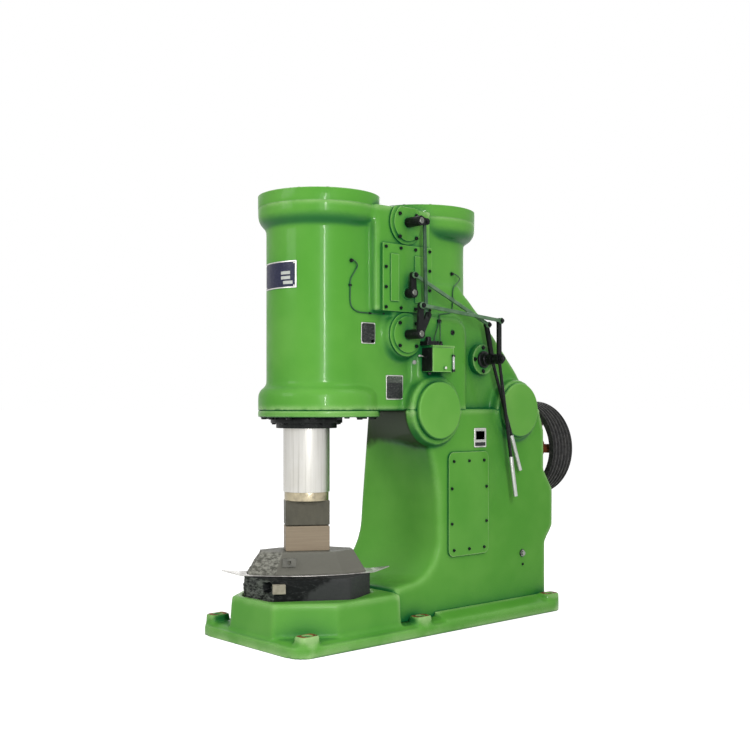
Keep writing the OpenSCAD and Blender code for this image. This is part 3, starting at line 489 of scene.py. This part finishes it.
class Build:
    """A mesh gathered from turned shapes, tubes and plates, with a material number for each face."""

    def __init__(self):
        self.points = []
        self.faces = []
        self.kinds = []

    def ring(self, points):
        first = len(self.points)
        self.points.extend(points)
        return range(first, len(self.points))

    def circle(self, centre, side, front, radius, sides, hexed=False):
        """Ring of points on a circle or a hexagon."""
        points = []
        for step in range(sides):
            turn = math.tau * step / sides
            reach = radius * hex_share(turn) if hexed else radius
            points.append(centre + reach * (side * math.cos(turn) + front * math.sin(turn)))
        return self.ring(points)

    def bridge(self, rings, kind):
        """Faces between rings in turn; a ring may be a single point."""
        for low, high in zip(rings, rings[1:]):
            count = max(len(low), len(high))
            for i in range(count):
                j = (i + 1) % count
                corners = (low[i % len(low)], low[j % len(low)], high[j % len(high)], high[i % len(high)])
                self.faces.append(tuple(dict.fromkeys(corners)))
                self.kinds.append(kind)

    def lathe(self, foot, axis, profile, kind=0, sides=24):
        """Turned shape from (radius, height) pairs, where a third value makes a hexagon."""
        side = axis.orthogonal().normalized()
        front = axis.cross(side)
        rings = []
        for radius, height, *hexed in profile:
            centre = foot + axis * height
            if radius:
                rings.append(self.circle(centre, side, front, radius, sides, hexed))
            else:
                rings.append(self.ring([centre]))
        self.bridge(rings, kind)

    def cap_screw(self, foot, axis, r):
        """Socket-head screw."""
        profile = ((0, 0), (r, 0), (r, 0.8 * r), (0.85 * r, r), (0.55 * r, r, True),
                   (0.55 * r, 0.45 * r, True), (0, 0.45 * r))
        self.lathe(foot, axis, profile)

    def hex_bolt(self, foot, axis, r, kind=0):
        """Hexagon head on a washer."""
        profile = ((0, 0), (1.3 * r, 0), (1.3 * r, 0.18 * r), (r, 0.18 * r, True), (r, 0.72 * r, True),
                   (0.84 * r, 0.85 * r), (0, 0.85 * r))
        self.lathe(foot, axis, profile, kind)

    def nut(self, foot, axis, r, out):
        """Nut on a washer, with the pin's end standing out of it."""
        profile = ((0, 0), (1.25 * r, 0), (1.25 * r, 0.12 * r), (r, 0.12 * r, True), (r, 0.6 * r, True),
                   (0.84 * r, 0.7 * r), (0.52 * r, 0.7 * r), (0.52 * r, out - 0.1 * r), (0.42 * r, out),
                   (0, out))
        self.lathe(foot, axis, profile)

    def tube(self, points, radius, kind=0, sides=10):
        """Round bar along a smooth line."""
        line = smooth_line(points)
        side = (line[1] - line[0]).orthogonal().normalized()
        rings = [self.ring([line[0]])]
        for i, here in enumerate(line):
            way = (line[min(i + 1, len(line) - 1)] - line[max(i - 1, 0)]).normalized()
            side = (side - way * side.dot(way)).normalized()
            rings.append(self.circle(here, side, way.cross(side), radius, sides))
        rings.append(self.ring([line[-1]]))
        self.bridge(rings, kind)

    def slab(self, centre, across, up, size, corner, bevel, kind=0):
        """Plate with round corners and a chamfered edge; size is its width, height and thickness."""
        out = across.cross(up)
        width, height, thick = size
        rings = [self.ring([centre])]
        for inset, level in ((0, 0), (0, thick - bevel), (bevel, thick)):
            edge = round_outline(width / 2 - inset, height / 2 - inset, corner - inset)
            rings.append(self.ring([centre + across * a + up * b + out * level for a, b in edge]))
        rings.append(self.ring([centre + out * thick]))
        self.bridge(rings, kind)

    def wrapped(self, axis, radii, turns, heights, kind=0, columns=20):
        """Plate bent round an upright axis, with its turns counted from the front."""
        inner, outer = radii
        low, high = heights
        corners = ((inner, low), (outer, low), (outer, high), (inner, high))
        rings = []
        for column in range(columns + 1):
            turn = turns[0] + (turns[1] - turns[0]) * column / columns
            way = Vector((math.sin(turn), -math.cos(turn), 0))
            rings.append(self.ring([axis + way * r + UP * z for r, z in corners]))
        self.bridge(rings, kind)
        for end in (rings[0], rings[-1]):
            self.faces.append(tuple(end))
            self.kinds.append(kind)

    def make(self, name, materials, body):
        mesh = bpy.data.meshes.new(name)
        mesh.from_pydata(self.points, [], self.faces)
        for material in materials:
            mesh.materials.append(material)
        mesh.polygons.foreach_set("material_index", self.kinds)
        form = bmesh.new()
        form.from_mesh(mesh)
        bmesh.ops.recalc_face_normals(form, faces=form.faces)
        form.to_mesh(mesh)
        form.free()
        mesh.shade_smooth()
        mesh.set_sharp_from_angle(angle=ROUNDED_ANGLE)
        piece = add_object(name, mesh)
        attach(piece, body)


def between(low, high, share):
    return low + (high - low) * share


def make_cover_screws():
    """Socket screws round the valve chest cover, the valve flanges and both inspection covers."""
    chest_inset = 0.027
    chest_face = 0.022
    chest_screw_r = 0.0115
    flange_half_pitch = 0.083
    flange_face = 0.030
    flange_screw_r = 0.013
    inspection_screw_r = 0.0105
    side_shares = (0.07, 0.94)
    end_shares = (0.12, 0.5, 0.88)
    row_shares = ((0.06, end_shares), (0.315, side_shares), (0.653, side_shares), (0.913, end_shares))
    build = Build()
    lo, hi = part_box("valve_chest_cover")
    for row in range(4):
        for column in range(4):
            if row in (0, 3) or column in (0, 3):
                y = between(lo.y + chest_inset, hi.y - chest_inset, column / 3)
                z = between(lo.z + chest_inset, hi.z - chest_inset, row / 3)
                build.cap_screw(Vector((lo.x + chest_face, y, z)), VALVE_SIDE, chest_screw_r)
    for flange in ("upper_valve_flange", "lower_valve_flange"):
        lo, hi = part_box(flange)
        middle = (lo + hi) / 2
        for a, b in CORNERS:
            y = middle.y + a * flange_half_pitch
            z = middle.z + b * flange_half_pitch
            build.cap_screw(Vector((lo.x + flange_face, y, z)), VALVE_SIDE, flange_screw_r)
    build.make("cover_screws", [BLACK_PAINT], "frame")
    for cover, way in (("inspection_cover", VALVE_SIDE), ("far_inspection_cover", FAR_SIDE)):
        build = Build()
        lo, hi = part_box(cover)
        x = hi.x if way == VALVE_SIDE else lo.x
        for height, columns in row_shares:
            for column in columns:
                place = Vector((x, between(lo.y, hi.y, column), between(lo.z, hi.z, height)))
                build.cap_screw(place, way, inspection_screw_r)
        build.make(cover + "_screws", [BLACK_PAINT], "frame")


def bolt_circle(build, centre, axis, radius, count, size, socket=False):
    side = axis.orthogonal().normalized()
    front = axis.cross(side)
    for step in range(count):
        turn = math.tau * (step + 0.5) / count
        foot = centre + radius * (side * math.cos(turn) + front * math.sin(turn))
        if socket:
            build.cap_screw(foot, axis, size)
        else:
            build.hex_bolt(foot, axis, size)


def make_cylinder_bolts():
    """Bolts under the lower cover and gland, screws in both heads, bolts of the rear bearing and bracket."""
    cover_circle_r = 0.405
    gland_circle_r = 0.2415
    gland_flange = 0.038
    head_inset = 0.060
    bearing_gap = 0.060
    bearing_circle_r = 0.135
    bracket_circle_r = 0.092
    build = Build()
    lo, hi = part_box("lower_cylinder_cover")
    bolt_circle(build, Vector((0, (lo.y + hi.y) / 2, lo.z)), DOWN, cover_circle_r, count=14, size=0.021)
    lo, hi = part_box("ram_gland")
    bolt_circle(build, Vector((0, 0, lo.z + gland_flange)), DOWN, gland_circle_r, count=10, size=0.014)
    build.make("gland_bolts", [BLACK_PAINT], "frame")
    build = Build()
    for head in CYLINDER_HEADS:
        lo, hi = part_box(head)
        circle_r = (hi.x - lo.x) / 2 - head_inset
        centre = Vector((0, (lo.y + hi.y) / 2, hi.z))
        bolt_circle(build, centre, UP, circle_r, count=12, size=0.012, socket=True)
    lo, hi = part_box("rear_bearing_housing")
    centre = Vector(((lo.x + hi.x) / 2, PULLEY_LOW.y - bearing_gap, (lo.z + hi.z) / 2))
    bolt_circle(build, centre, BACK, bearing_circle_r, count=6, size=0.009)
    centre = PIVOTS["lever_a_turn"].copy()
    centre.x = BRACKET_FACE_X
    bolt_circle(build, centre, VALVE_SIDE, bracket_circle_r, count=4, size=0.013)
    build.make("head_screws", [BLACK_PAINT], "frame")


def make_linkage_nuts():
    """Nuts on the pins of the hand levers and valve cranks, and the dark steel ends of their shafts."""
    rod_a_face, link_face, rod_b_face = 0.6375, 0.6135, 0.5645
    outer_shaft_end, middle_shaft_end = 0.619, 0.546
    lower_arm_y, lower_arm_z = 0.006, 0.204
    upper_arm_y = 0.066
    middle_arm_z = 0.128
    pin_nut_r, pin_out = 0.015, 0.013
    bracket_nut_r, bracket_pin_out = 0.025, 0.022
    shaft_end = ((0, 0), (0.022, 0), (0.022, 0.004), (0.018, 0.007), (0.006, 0.007), (0.004, 0.004),
                 (0, 0.004))
    collar = ((0, 0), (0.066, 0), (0.066, 0.014), (0.060, 0.020), (0.052, 0.022), (0.048, 0.048),
              (0.044, 0.052), (0, 0.052))
    lower = PIVOTS["lower_crank_turn"]
    upper = PIVOTS["upper_crank_turn"]
    middle = PIVOTS["middle_crank_turn"]
    link = PIVOTS["link_turn"]
    bracket = PIVOTS["lever_a_turn"]
    rod_a = PIVOTS["rod_a_turn"]
    rod_b = PIVOTS["rod_b_turn"]
    pins = {
        "lever_a_body": [(rod_a_face, rod_a.y, rod_a.z)],
        "lower_crank_body": [(rod_a_face, lower.y + lower_arm_y, lower.z + lower_arm_z),
                             (link_face, link.y, link.z)],
        "upper_crank_body": [(link_face, upper.y + upper_arm_y, upper.z)],
        "lever_b_body": [(rod_b_face, rod_b.y, rod_b.z)],
        "middle_crank_body": [(rod_b_face, middle.y, middle.z + middle_arm_z)],
    }
    ends = {
        "lower_crank_body": (outer_shaft_end, lower.y, lower.z),
        "upper_crank_body": (outer_shaft_end, upper.y, upper.z),
        "middle_crank_body": (middle_shaft_end, middle.y, middle.z),
    }
    for body, places in pins.items():
        build = Build()
        for place in places:
            build.nut(Vector(place), VALVE_SIDE, pin_nut_r, pin_out)
        if body in ends:
            build.lathe(Vector(ends[body]), VALVE_SIDE, shaft_end, 1)
        build.make(body.replace("_body", "_nuts"), [BLACK_PAINT, PIPE_METAL], body)
    build = Build()
    tip = Vector((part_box("lever_bracket")[1].x, bracket.y, bracket.z))
    build.nut(tip, VALVE_SIDE, bracket_nut_r, bracket_pin_out)
    build.lathe(Vector((BRACKET_FACE_X, bracket.y, bracket.z)), VALVE_SIDE, collar, 0, 36)
    build.make("bracket_nut", [BLACK_PAINT], "frame")


def bordered_plate(name, x, y_span, z_span, fields):
    """Screwed-on plate with a bright border and bare printed fields, on a wall that faces the valve side."""
    plate_thick, plate_corner, plate_bevel = 0.0030, 0.008, 0.0008
    field_thick, field_corner, field_bevel = 0.0034, 0.004, 0.0002
    rivet_inset = 0.009
    rivet = ((0, 0.002), (0.0042, 0.002), (0.0042, 0.0042), (0.0025, 0.0058), (0, 0.0062))
    build = Build()
    width = y_span[1] - y_span[0]
    height = z_span[1] - z_span[0]
    centre = Vector((x, sum(y_span) / 2, sum(z_span) / 2))
    build.slab(centre, BACK, UP, (width, height, plate_thick), plate_corner, plate_bevel)
    for (a0, a1), (b0, b1), kind in fields:
        middle = Vector((x, between(*y_span, (a0 + a1) / 2), between(*z_span, (b0 + b1) / 2)))
        size = (width * (a1 - a0), height * (b1 - b0), field_thick)
        build.slab(middle, BACK, UP, size, field_corner, field_bevel, kind)
    for a, b in CORNERS:
        place = centre + BACK * (a * (width / 2 - rivet_inset)) + UP * (b * (height / 2 - rivet_inset))
        build.lathe(place, VALVE_SIDE, rivet, 0, 12)
    build.make(name, [BRIGHT, PLATE_DARK, PLATE_PALE, PLATE_GREY], "frame")


def make_wall_plates():
    """Three plates on the valve side, with their fields in shares of the plate's width and height."""
    dark, pale, grey = 1, 2, 3
    wide = (0.035, 0.965)
    inset = (0.07, 0.93)
    bordered_plate("wall_plate_upper", WALL_X, (0.189, 0.323), (2.121, 2.273),
                   ((wide, wide, dark), ((0.70, 0.90), (0.07, 0.20), pale)))
    bordered_plate("wall_plate_lower", WALL_X, (0.430, 0.598), (1.720, 1.900),
                   ((wide, (0.04, 0.69), dark), (wide, (0.69, 0.96), grey)))
    bordered_plate("column_plate", COLUMN_X, (1.302, 1.439), (1.351, 1.502),
                   ((inset, (0.30, 0.93), pale), ((0.14, 0.86), (0.40, 0.84), dark),
                    (inset, (0.07, 0.26), dark)))


def make_name_plate():
    """Plate bent round the working cylinder: a bright border, a navy field and three pale bars."""
    half_turn = math.radians(27)
    field_turn = half_turn - 0.030
    screw_turn = half_turn - 0.05
    bar_turn = math.radians(12)
    low, high = 2.508, 2.699
    border = 0.008
    sunk = 0.002
    plate_out, field_out, bar_out = 0.0040, 0.0045, 0.0050
    bar_half_height = 0.011
    bars = ((0.56, 7.5), (0.38, 7.5), (0.20, 10.5))
    screw_inset, screw_foot = 0.016, 0.003
    screw = ((0, 0), (0.0055, 0), (0.0055, 0.003), (0.003, 0.005), (0, 0.0055))
    build = Build()
    build.wrapped(BARREL_AXIS, (BARREL_R - sunk, BARREL_R + plate_out), (-half_turn, half_turn), (low, high))
    build.wrapped(BARREL_AXIS, (BARREL_R, BARREL_R + field_out), (-field_turn, field_turn),
                  (low + border, high - border), 1)
    for share, degrees in bars:
        start = math.radians(degrees)
        z = between(low, high, share)
        heights = (z - bar_half_height, z + bar_half_height)
        build.wrapped(BARREL_AXIS, (BARREL_R, BARREL_R + bar_out), (start, start + bar_turn), heights, 2, 6)
    for side in (-1, 1):
        for z in (low + screw_inset, high - screw_inset):
            way = Vector((math.sin(side * screw_turn), -math.cos(screw_turn), 0))
            build.lathe(BARREL_AXIS + way * (BARREL_R + screw_foot) + UP * z, way, screw, 0, 12)
    build.make("name_plate", [BRIGHT, PLATE_NAVY, PLATE_PALE], "frame")


def make_oil_pipes():
    """Rigid oil pipes clipped to the castings, with their nipples and a junction block."""
    pipe_r = 0.0034
    junction_size = (0.034, 0.026, 0.014)
    clip_size = (0.026, 0.012, 0.011)
    nipple = ((0, 0), (0.013, 0), (0.013, 0.010), (0.011, 0.010, True), (0.011, 0.022, True),
              (0.007, 0.024), (0, 0.024))
    ferrule = ((0, 0), (0.010, 0), (0.010, 0.010), (0.007, 0.014), (0, 0.014))
    front = [(0.389, 0.095, 2.705), (0.400, 0.118, 2.703), (0.396, 0.148, 2.672), (0.393, 0.118, 2.620),
             (0.392, 0.088, 2.570), (0.391, 0.085, 2.500), (0.391, 0.085, 2.425), (0.392, 0.100, 2.375),
             (0.393, 0.150, 2.346), (0.393, 0.230, 2.341), (0.393, 0.330, 2.340), (0.393, 0.375, 2.341),
             (0.396, 0.392, 2.347), (0.399, 0.394, 2.353)]
    rear = [(0.364, 1.140, 2.694), (0.377, 1.165, 2.692), (0.374, 1.218, 2.662), (0.382, 1.180, 2.622),
            (0.394, 1.132, 2.590), (0.393, 1.120, 2.530), (0.392, 1.119, 2.440), (0.393, 1.095, 2.392),
            (0.397, 1.030, 2.378), (0.410, 0.960, 2.368), (0.440, 0.928, 2.345), (0.456, 0.918, 2.318),
            (0.462, 0.914, 2.290), (0.482, 0.896, 2.215), (0.502, 0.8793, 2.165), (0.506, 0.8793, 2.140)]
    short = [(0.454, 0.906, 2.316), (0.460, 0.896, 2.290), (0.480, 0.850, 2.220), (0.502, 0.815, 2.170),
             (0.506, 0.8127, 2.140)]
    build = Build()
    for route in (front, rear, short):
        build.tube([Vector(point) for point in route], pipe_r)
    for place in ((0.383, 0.095, 2.705), (0.356, 1.140, 2.694)):
        build.lathe(Vector(place), VALVE_SIDE, nipple, 1)
    build.lathe(Vector((0.399, 0.394, 2.352)), DOWN, ferrule, 1)
    build.slab(Vector((COLUMN_X, 0.914, 2.312)), BACK, UP, junction_size, corner=0.004, bevel=0.002, kind=1)
    for y, z in ((0.085, 2.530), (0.270, 2.340), (1.119, 2.500)):
        build.slab(Vector((WALL_X, y, z)), BACK, UP, clip_size, corner=0.003, bevel=0.002, kind=1)
    build.make("oil_pipes", [LINK_PAINT, BLACK_PAINT], "frame")


def lubricator_panel(build, lo, hi):
    """Front panel with its hand crank."""
    inset, thick = 0.012, 0.004
    arm_r = 0.005
    boss = ((0, 0), (0.016, 0), (0.016, 0.006), (0.010, 0.008), (0.010, 0.020), (0, 0.020))
    knob = ((0, 0), (0.006, 0.001), (0.009, 0.012), (0.009, 0.024), (0.005, 0.030), (0, 0.031))
    arm = ((0, -0.015, 0), (-0.016, -0.016, 0.006), (-0.030, -0.020, 0.010))
    face = Vector(((lo.x + hi.x) / 2, lo.y, (lo.z + hi.z) / 2))
    size = (hi.x - lo.x - inset, hi.z - lo.z - inset, thick)
    build.slab(face, VALVE_SIDE, UP, size, corner=0.008, bevel=0.0015)
    pin = face + Vector((-0.010, -0.004, 0.018))
    build.lathe(pin, FRONT, boss)
    build.tube([pin + Vector(point) for point in arm], arm_r, 1)
    build.lathe(pin + Vector((-0.030, -0.018, 0.010)), FRONT, knob, 1)


def lubricator_top(build, lo, hi):
    """Filler with its cap, and three outlet nuts up to the lid's top."""
    lid_z = hi.z + 0.012
    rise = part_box("lubricator_lid")[1].z - lid_z
    filler_size = (0.088, 0.098, 0.030)
    cap = ((0, 0), (0.024, 0), (0.024, 0.006), (0.021, 0.008), (0.021, 0.028), (0.016, 0.034), (0, 0.034))
    outlet = ((0, 0), (0.014, 0, True), (0.014, 0.014, True), (0.0105, 0.016), (0.0105, rise + 0.003),
              (0.005, rise + 0.006), (0, rise + 0.006))
    middle_x = (lo.x + hi.x) / 2
    filler = Vector((middle_x - 0.006, lo.y + 0.016, lid_z))
    build.slab(filler, VALVE_SIDE, BACK, filler_size, corner=0.010, bevel=0.003)
    build.lathe(Vector((middle_x, lo.y + 0.010, lid_z + filler_size[2])), UP, cap)
    for share in (0.35, 0.5, 0.65):
        build.lathe(Vector((middle_x, between(lo.y, hi.y, share), lid_z)), UP, outlet)


def lubricator_side(build, lo, hi):
    """Drain cock and sight tube on the valve side, and a foot underneath."""
    cock = ((0, 0), (0.006, 0), (0.006, 0.008), (0.010, 0.010), (0.010, 0.018), (0.006, 0.021), (0, 0.021))
    glass = ((0, 0), (0.0085, 0), (0.0085, 0.098), (0, 0.098))
    stub = ((0, 0), (0.007, 0), (0.007, 0.012), (0, 0.012))
    foot = ((0, 0), (0.014, 0), (0.014, 0.006), (0.012, 0.006, True), (0.012, 0.018, True), (0, 0.018))
    build.lathe(Vector((hi.x, lo.y + 0.121, lo.z + 0.031)), VALVE_SIDE, cock, 1)
    tube = Vector((hi.x + 0.010, hi.y - 0.014, lo.z + 0.020))
    build.lathe(tube, UP, glass, 2)
    for z, tall in ((-0.016, 0.018), (0.096, 0.014)):
        build.lathe(tube + UP * z, UP, ((0, 0), (0.012, 0, True), (0.012, tall, True), (0, tall)))
        build.lathe(tube + Vector((-0.012, 0, z + tall / 2)), VALVE_SIDE, stub)
    build.lathe(Vector((lo.x + 0.055, lo.y + 0.028, lo.z)), DOWN, foot)


def make_lubricator_fittings():
    lo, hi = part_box("lubricator_tank")
    build = Build()
    lubricator_panel(build, lo, hi)
    lubricator_top(build, lo, hi)
    lubricator_side(build, lo, hi)
    build.make("lubricator_fittings", [BLACK_PAINT, BRIGHT, SIGHT_GLASS], "frame")


def make_wall_plugs():
    """Drain plug and stop screw low on the column, wall plug and clamp bolt by the lubricator."""
    washer = ((0, 0), (0.030, 0), (0.030, 0.004), (0.028, 0.006), (0.020, 0.006), (0, 0.006))
    plug = ((0, 0), (0.019, 0), (0.019, 0.006), (0.016, 0.009), (0.008, 0.009, True), (0.008, 0.004, True),
            (0, 0.004))
    drain_y, drain_z = 1.871, 0.480
    washer_face = 0.005
    clamp_way = Vector((0.6, -0.8, 0))
    build = Build()
    build.lathe(Vector((COLUMN_X, drain_y, drain_z)), VALVE_SIDE, washer)
    build.hex_bolt(Vector((COLUMN_X + washer_face, drain_y, drain_z)), VALVE_SIDE, 0.020, 1)
    build.cap_screw(Vector((COLUMN_X, 1.877, 0.390)), VALVE_SIDE, 0.009)
    build.lathe(Vector((COLUMN_X, 1.062, 2.233)), VALVE_SIDE, plug)
    build.hex_bolt(Vector((0.417, 0.6895, 1.998)), clamp_way, 0.012, 1)
    build.make("wall_plugs", [BLACK_PAINT, PLUG_STEEL], "frame")


def make_shaft_end_bolt():
    """Washer and bolt on the end of the pulley's shaft."""
    profile = ((0, 0), (0.046, 0), (0.046, 0.008), (0.044, 0.010), (0.022, 0.010), (0.022, 0.010, True),
               (0.022, 0.024, True), (0.018, 0.027), (0, 0.027))
    lo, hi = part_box("pulley_shaft")
    centre = (lo + hi) / 2
    build = Build()
    build.lathe(Vector((centre.x, hi.y, centre.z)), BACK, profile)
    build.make("shaft_end_bolt", [BLACK_PAINT], "pulley_body")


def even_copy(name, node, material, voxel, wedges=()):
    """Copy of a node in small even faces, with any wedges of metal added, which stands for the node."""
    copy = add_object(name, NODES[node].data.copy())
    form = bmesh.new()
    form.from_mesh(copy.data)
    for wedge in wedges:
        bmesh.ops.convex_hull(form, input=[form.verts.new(corner) for corner in wedge])
    form.to_mesh(copy.data)
    form.free()
    even = copy.modifiers.new("even", "REMESH")
    even.mode = "VOXEL"
    even.voxel_size = voxel
    mesh = bpy.data.meshes.new_from_object(copy.evaluated_get(bpy.context.evaluated_depsgraph_get()))
    copy.modifiers.clear()
    copy.data = mesh
    mesh.materials.clear()
    mesh.materials.append(material)
    mesh.shade_smooth()
    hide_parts(node)
    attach(copy, "frame")
    return mesh


def cast_copy(name, node, material, voxel, rounds, held, wedges=(), overlap=None):
    """Casting with its corners filled and its edges rounded as sand leaves them.

    The held heights stay flat, and the top at the overlap height reaches a little into the piece above it.
    """
    held_reach = 1.3 * voxel
    top_reach = 0.4 * voxel
    overlap_depth = 0.010
    mesh = even_copy(name, node, material, voxel, wedges)
    form = bmesh.new()
    form.from_mesh(mesh)
    free = []
    for vertex in form.verts:
        if all(abs(vertex.co.z - height) > held_reach for height in held):
            free.append(vertex)
    for _ in range(rounds):
        bmesh.ops.smooth_vert(form, verts=free, factor=0.5, use_axis_x=True, use_axis_y=True, use_axis_z=True)
    if overlap is not None:
        for vertex in form.verts:
            if vertex.co.z > overlap - top_reach:
                vertex.co.z += overlap_depth
    form.to_mesh(mesh)
    form.free()


def make_castings():
    """Cast copies of the base, the cylinder block and the column."""
    column_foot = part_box("column_casting")[0].z
    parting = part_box("cylinder_block")[0].z
    head_joints = [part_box(head)[0].z for head in CYLINDER_HEADS]
    cast_copy("cast_base", "base_casting", BASE_ENAMEL, voxel=0.010, rounds=10,
              held=(0.0,), wedges=base_wedges())
    cast_copy("cast_block", "cylinder_block", CAST_ENAMEL, voxel=0.0155, rounds=4,
              held=(parting, *head_joints))
    cast_copy("cast_column", "column_casting", COLUMN_ENAMEL, voxel=0.012, rounds=8,
              held=(column_foot, parting), overlap=parting)


def flush_head(name, node):
    """Cylinder head whose skirt hides its joint with the cylinder block, as filler and paint do."""
    skirt = 0.016
    skirt_band = 0.001
    growth = 0.001
    low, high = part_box(node)
    middle = (low + high) / 2
    head = add_object(name, NODES[node].data.copy())
    for vertex in head.data.vertices:
        place = vertex.co
        if place.z < low.z + skirt_band:
            place.z -= skirt
        place.x += (place.x - middle.x) * growth
        place.y += (place.y - middle.y) * growth
    round_edges(head, HEAD_ROUNDING)
    head.data.materials.clear()
    head.data.materials.append(PLATE_ENAMEL)
    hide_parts(node)
    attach(head, "frame")


def base_wedges():
    """Sloping metal between the plate's edge and the column's foot, and a filler behind the pedestal."""
    bottom_z, slope_low_z, slope_high_z = 0.07, 0.086, 0.136
    slope_front = 0.86
    edge_inset, back_inset = 0.012, 0.09
    filler_front, filler_back = 0.007, 0.030
    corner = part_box("base_casting")[1]
    edge = corner.x - edge_inset
    back = corner.y - back_inset
    section = ((edge, bottom_z), (edge, slope_low_z), (COLUMN_X, slope_high_z), (COLUMN_X, bottom_z))
    wedges = []
    for side in (1, -1):
        wedges.append([(side * x, y, z) for y in (slope_front, back) for x, z in section])
    rear = (PEDESTAL_REAR - filler_front, PEDESTAL_REAR + filler_back)
    wedges.append([(x, y, z) for x in (-COLUMN_X, COLUMN_X) for y in rear for z in (bottom_z, PEDESTAL_TOP)])
    return wedges


def clamped(value):
    return max(0.0, min(1.0, value))


def rough_copy(name, node, material, voxel, depth):
    """Forged block with its skin broken inwards, most on its broken sides and hardly on top."""
    skin = 0.0012
    top_share, sound_share, broken_share = 0.05, 0.10, 0.90
    top_facing = 0.7
    layers = Vector((7, 7, 30))
    mesh = even_copy(name, node, material, voxel)
    moved = []
    for vertex in mesh.vertices:
        broken = clamped(vertex.normal.dot(BROKEN_WAY) * 2.2)
        share = sound_share + broken_share * broken if vertex.normal.z < top_facing else top_share
        ragged = noise.fractal(vertex.co * 13.0, 0.8, 2.1, 5) + 0.5 * noise.noise(vertex.co * layers)
        inward = skin + depth * share * clamped(0.45 + 0.5 * ragged)
        moved.append(vertex.co - vertex.normal * inward)
    for vertex, place in zip(mesh.vertices, moved):
        vertex.co = place
    mesh.set_sharp_from_angle(angle=math.radians(50))


def larger(tree, a, b):
    """The larger of two sockets' values."""
    made = tree.nodes.new("ShaderNodeMath")
    made.operation = "MAXIMUM"
    tree.links.new(a, made.inputs[0])
    tree.links.new(b, made.inputs[1])
    return made.outputs[0]


def make_stage():
    """Pale floor that keeps the hammer's shadow."""
    half = 300.0
    drop = 0.001
    glow_strength = 0.70
    mesh = bpy.data.meshes.new("floor")
    mesh.from_pydata([(a * half, b * half, 0) for a, b in CORNERS], [], [(0, 1, 2, 3)])
    floor = add_object("floor", mesh)
    floor.location.z = -drop
    material = bpy.data.materials.new("floor")
    material.use_nodes = True
    tree = material.node_tree
    tree.nodes.clear()
    path = tree.nodes.new("ShaderNodeLightPath")
    seen = larger(tree, path.outputs["Is Camera Ray"], path.outputs["Is Glossy Ray"])
    lift = tree.nodes.new("ShaderNodeMath")
    lift.operation = "MULTIPLY"
    lift.inputs[1].default_value = glow_strength
    tree.links.new(seen, lift.inputs[0])
    glow = tree.nodes.new("ShaderNodeEmission")
    tree.links.new(lift.outputs[0], glow.inputs["Strength"])
    tone = tree.nodes.new("ShaderNodeMix")
    tone.data_type = "RGBA"
    tone.inputs[6].default_value = FLOOR_LIT
    tone.inputs[7].default_value = FLOOR_SEEN
    tree.links.new(seen, tone.inputs[0])
    matt = tree.nodes.new("ShaderNodeBsdfDiffuse")
    tree.links.new(tone.outputs[2], matt.inputs["Color"])
    added = tree.nodes.new("ShaderNodeAddShader")
    tree.links.new(glow.outputs[0], added.inputs[0])
    tree.links.new(matt.outputs[0], added.inputs[1])
    out = tree.nodes.new("ShaderNodeOutputMaterial")
    tree.links.new(added.outputs[0], out.inputs["Surface"])
    mesh.materials.append(material)


def make_world():
    """White background, dimmer as a light than as a picture."""
    light_strength, seen_strength = 0.42, 1.0
    world = bpy.data.worlds.new("studio")
    bpy.context.scene.world = world
    world.use_nodes = True
    tree = world.node_tree
    path = tree.nodes.new("ShaderNodeLightPath")
    shown = path.outputs["Is Camera Ray"]
    for ray in ("Is Transmission Ray", "Is Glossy Ray"):
        shown = larger(tree, shown, path.outputs[ray])
    strength = tree.nodes.new("ShaderNodeMapRange")
    strength.inputs["To Min"].default_value = light_strength
    strength.inputs["To Max"].default_value = seen_strength
    tree.links.new(shown, strength.inputs["Value"])
    background = tree.nodes["Background"]
    background.inputs["Color"].default_value = (1, 1, 1, 1)
    tree.links.new(strength.outputs["Result"], background.inputs["Strength"])


def make_lamp(name, place, target, width, height, watts):
    data = bpy.data.lights.new(name, "AREA")
    data.shape = "RECTANGLE"
    data.size = width
    data.size_y = height
    data.energy = watts
    lamp = add_object(name, data)
    lamp.location = place
    lamp.rotation_euler = (Vector(target) - Vector(place)).to_track_quat("-Z", "Y").to_euler()


def make_camera():
    data = bpy.data.cameras.new("camera")
    data.lens = LENS_MM
    data.sensor_width = SENSOR_MM
    data.shift_y = SHIFT_UP
    data.clip_end = 1000
    camera = add_object("camera", data)
    camera.location = EYE
    camera.rotation_euler = (math.pi / 2, 0, AZIMUTH)
    bpy.context.scene.camera = camera


make_cover_screws()
make_cylinder_bolts()
make_linkage_nuts()
make_wall_plates()
make_name_plate()
make_oil_pipes()
make_lubricator_fittings()
make_wall_plugs()
make_shaft_end_bolt()
make_castings()
flush_head("flush_working_head", "working_cylinder_head")
flush_head("flush_compressor_head", "compressor_cylinder_head")
rough_copy("rough_anvil", "anvil_block", ANVIL_STEEL, voxel=0.010, depth=0.018)
rough_copy("rough_sow", "sow_block", SOW_STEEL, voxel=0.006, depth=0.010)

make_stage()
make_world()
make_lamp("strip", (6.17, -3.31, 2.9), (0, 0.1, 2.2), width=2.0, height=2.7, watts=105)
make_lamp("slit", (6.30, -3.20, 2.9), (0, 0.1, 2.2), width=0.30, height=2.7, watts=235)
make_lamp("front", (-1.5, -8.0, 5.0), (0, 0.4, 1.4), width=3.5, height=3.5, watts=235)
make_lamp("side", (5.0, 3.0, 8.0), (0.2, 1.0, 1.0), width=4.0, height=4.0, watts=130)
make_lamp("back", (-6.0, 7.0, 6.0), (0, 1.0, 1.4), width=5.0, height=5.0, watts=260)
make_camera()
bpy.context.scene.view_settings.view_transform = "Standard"
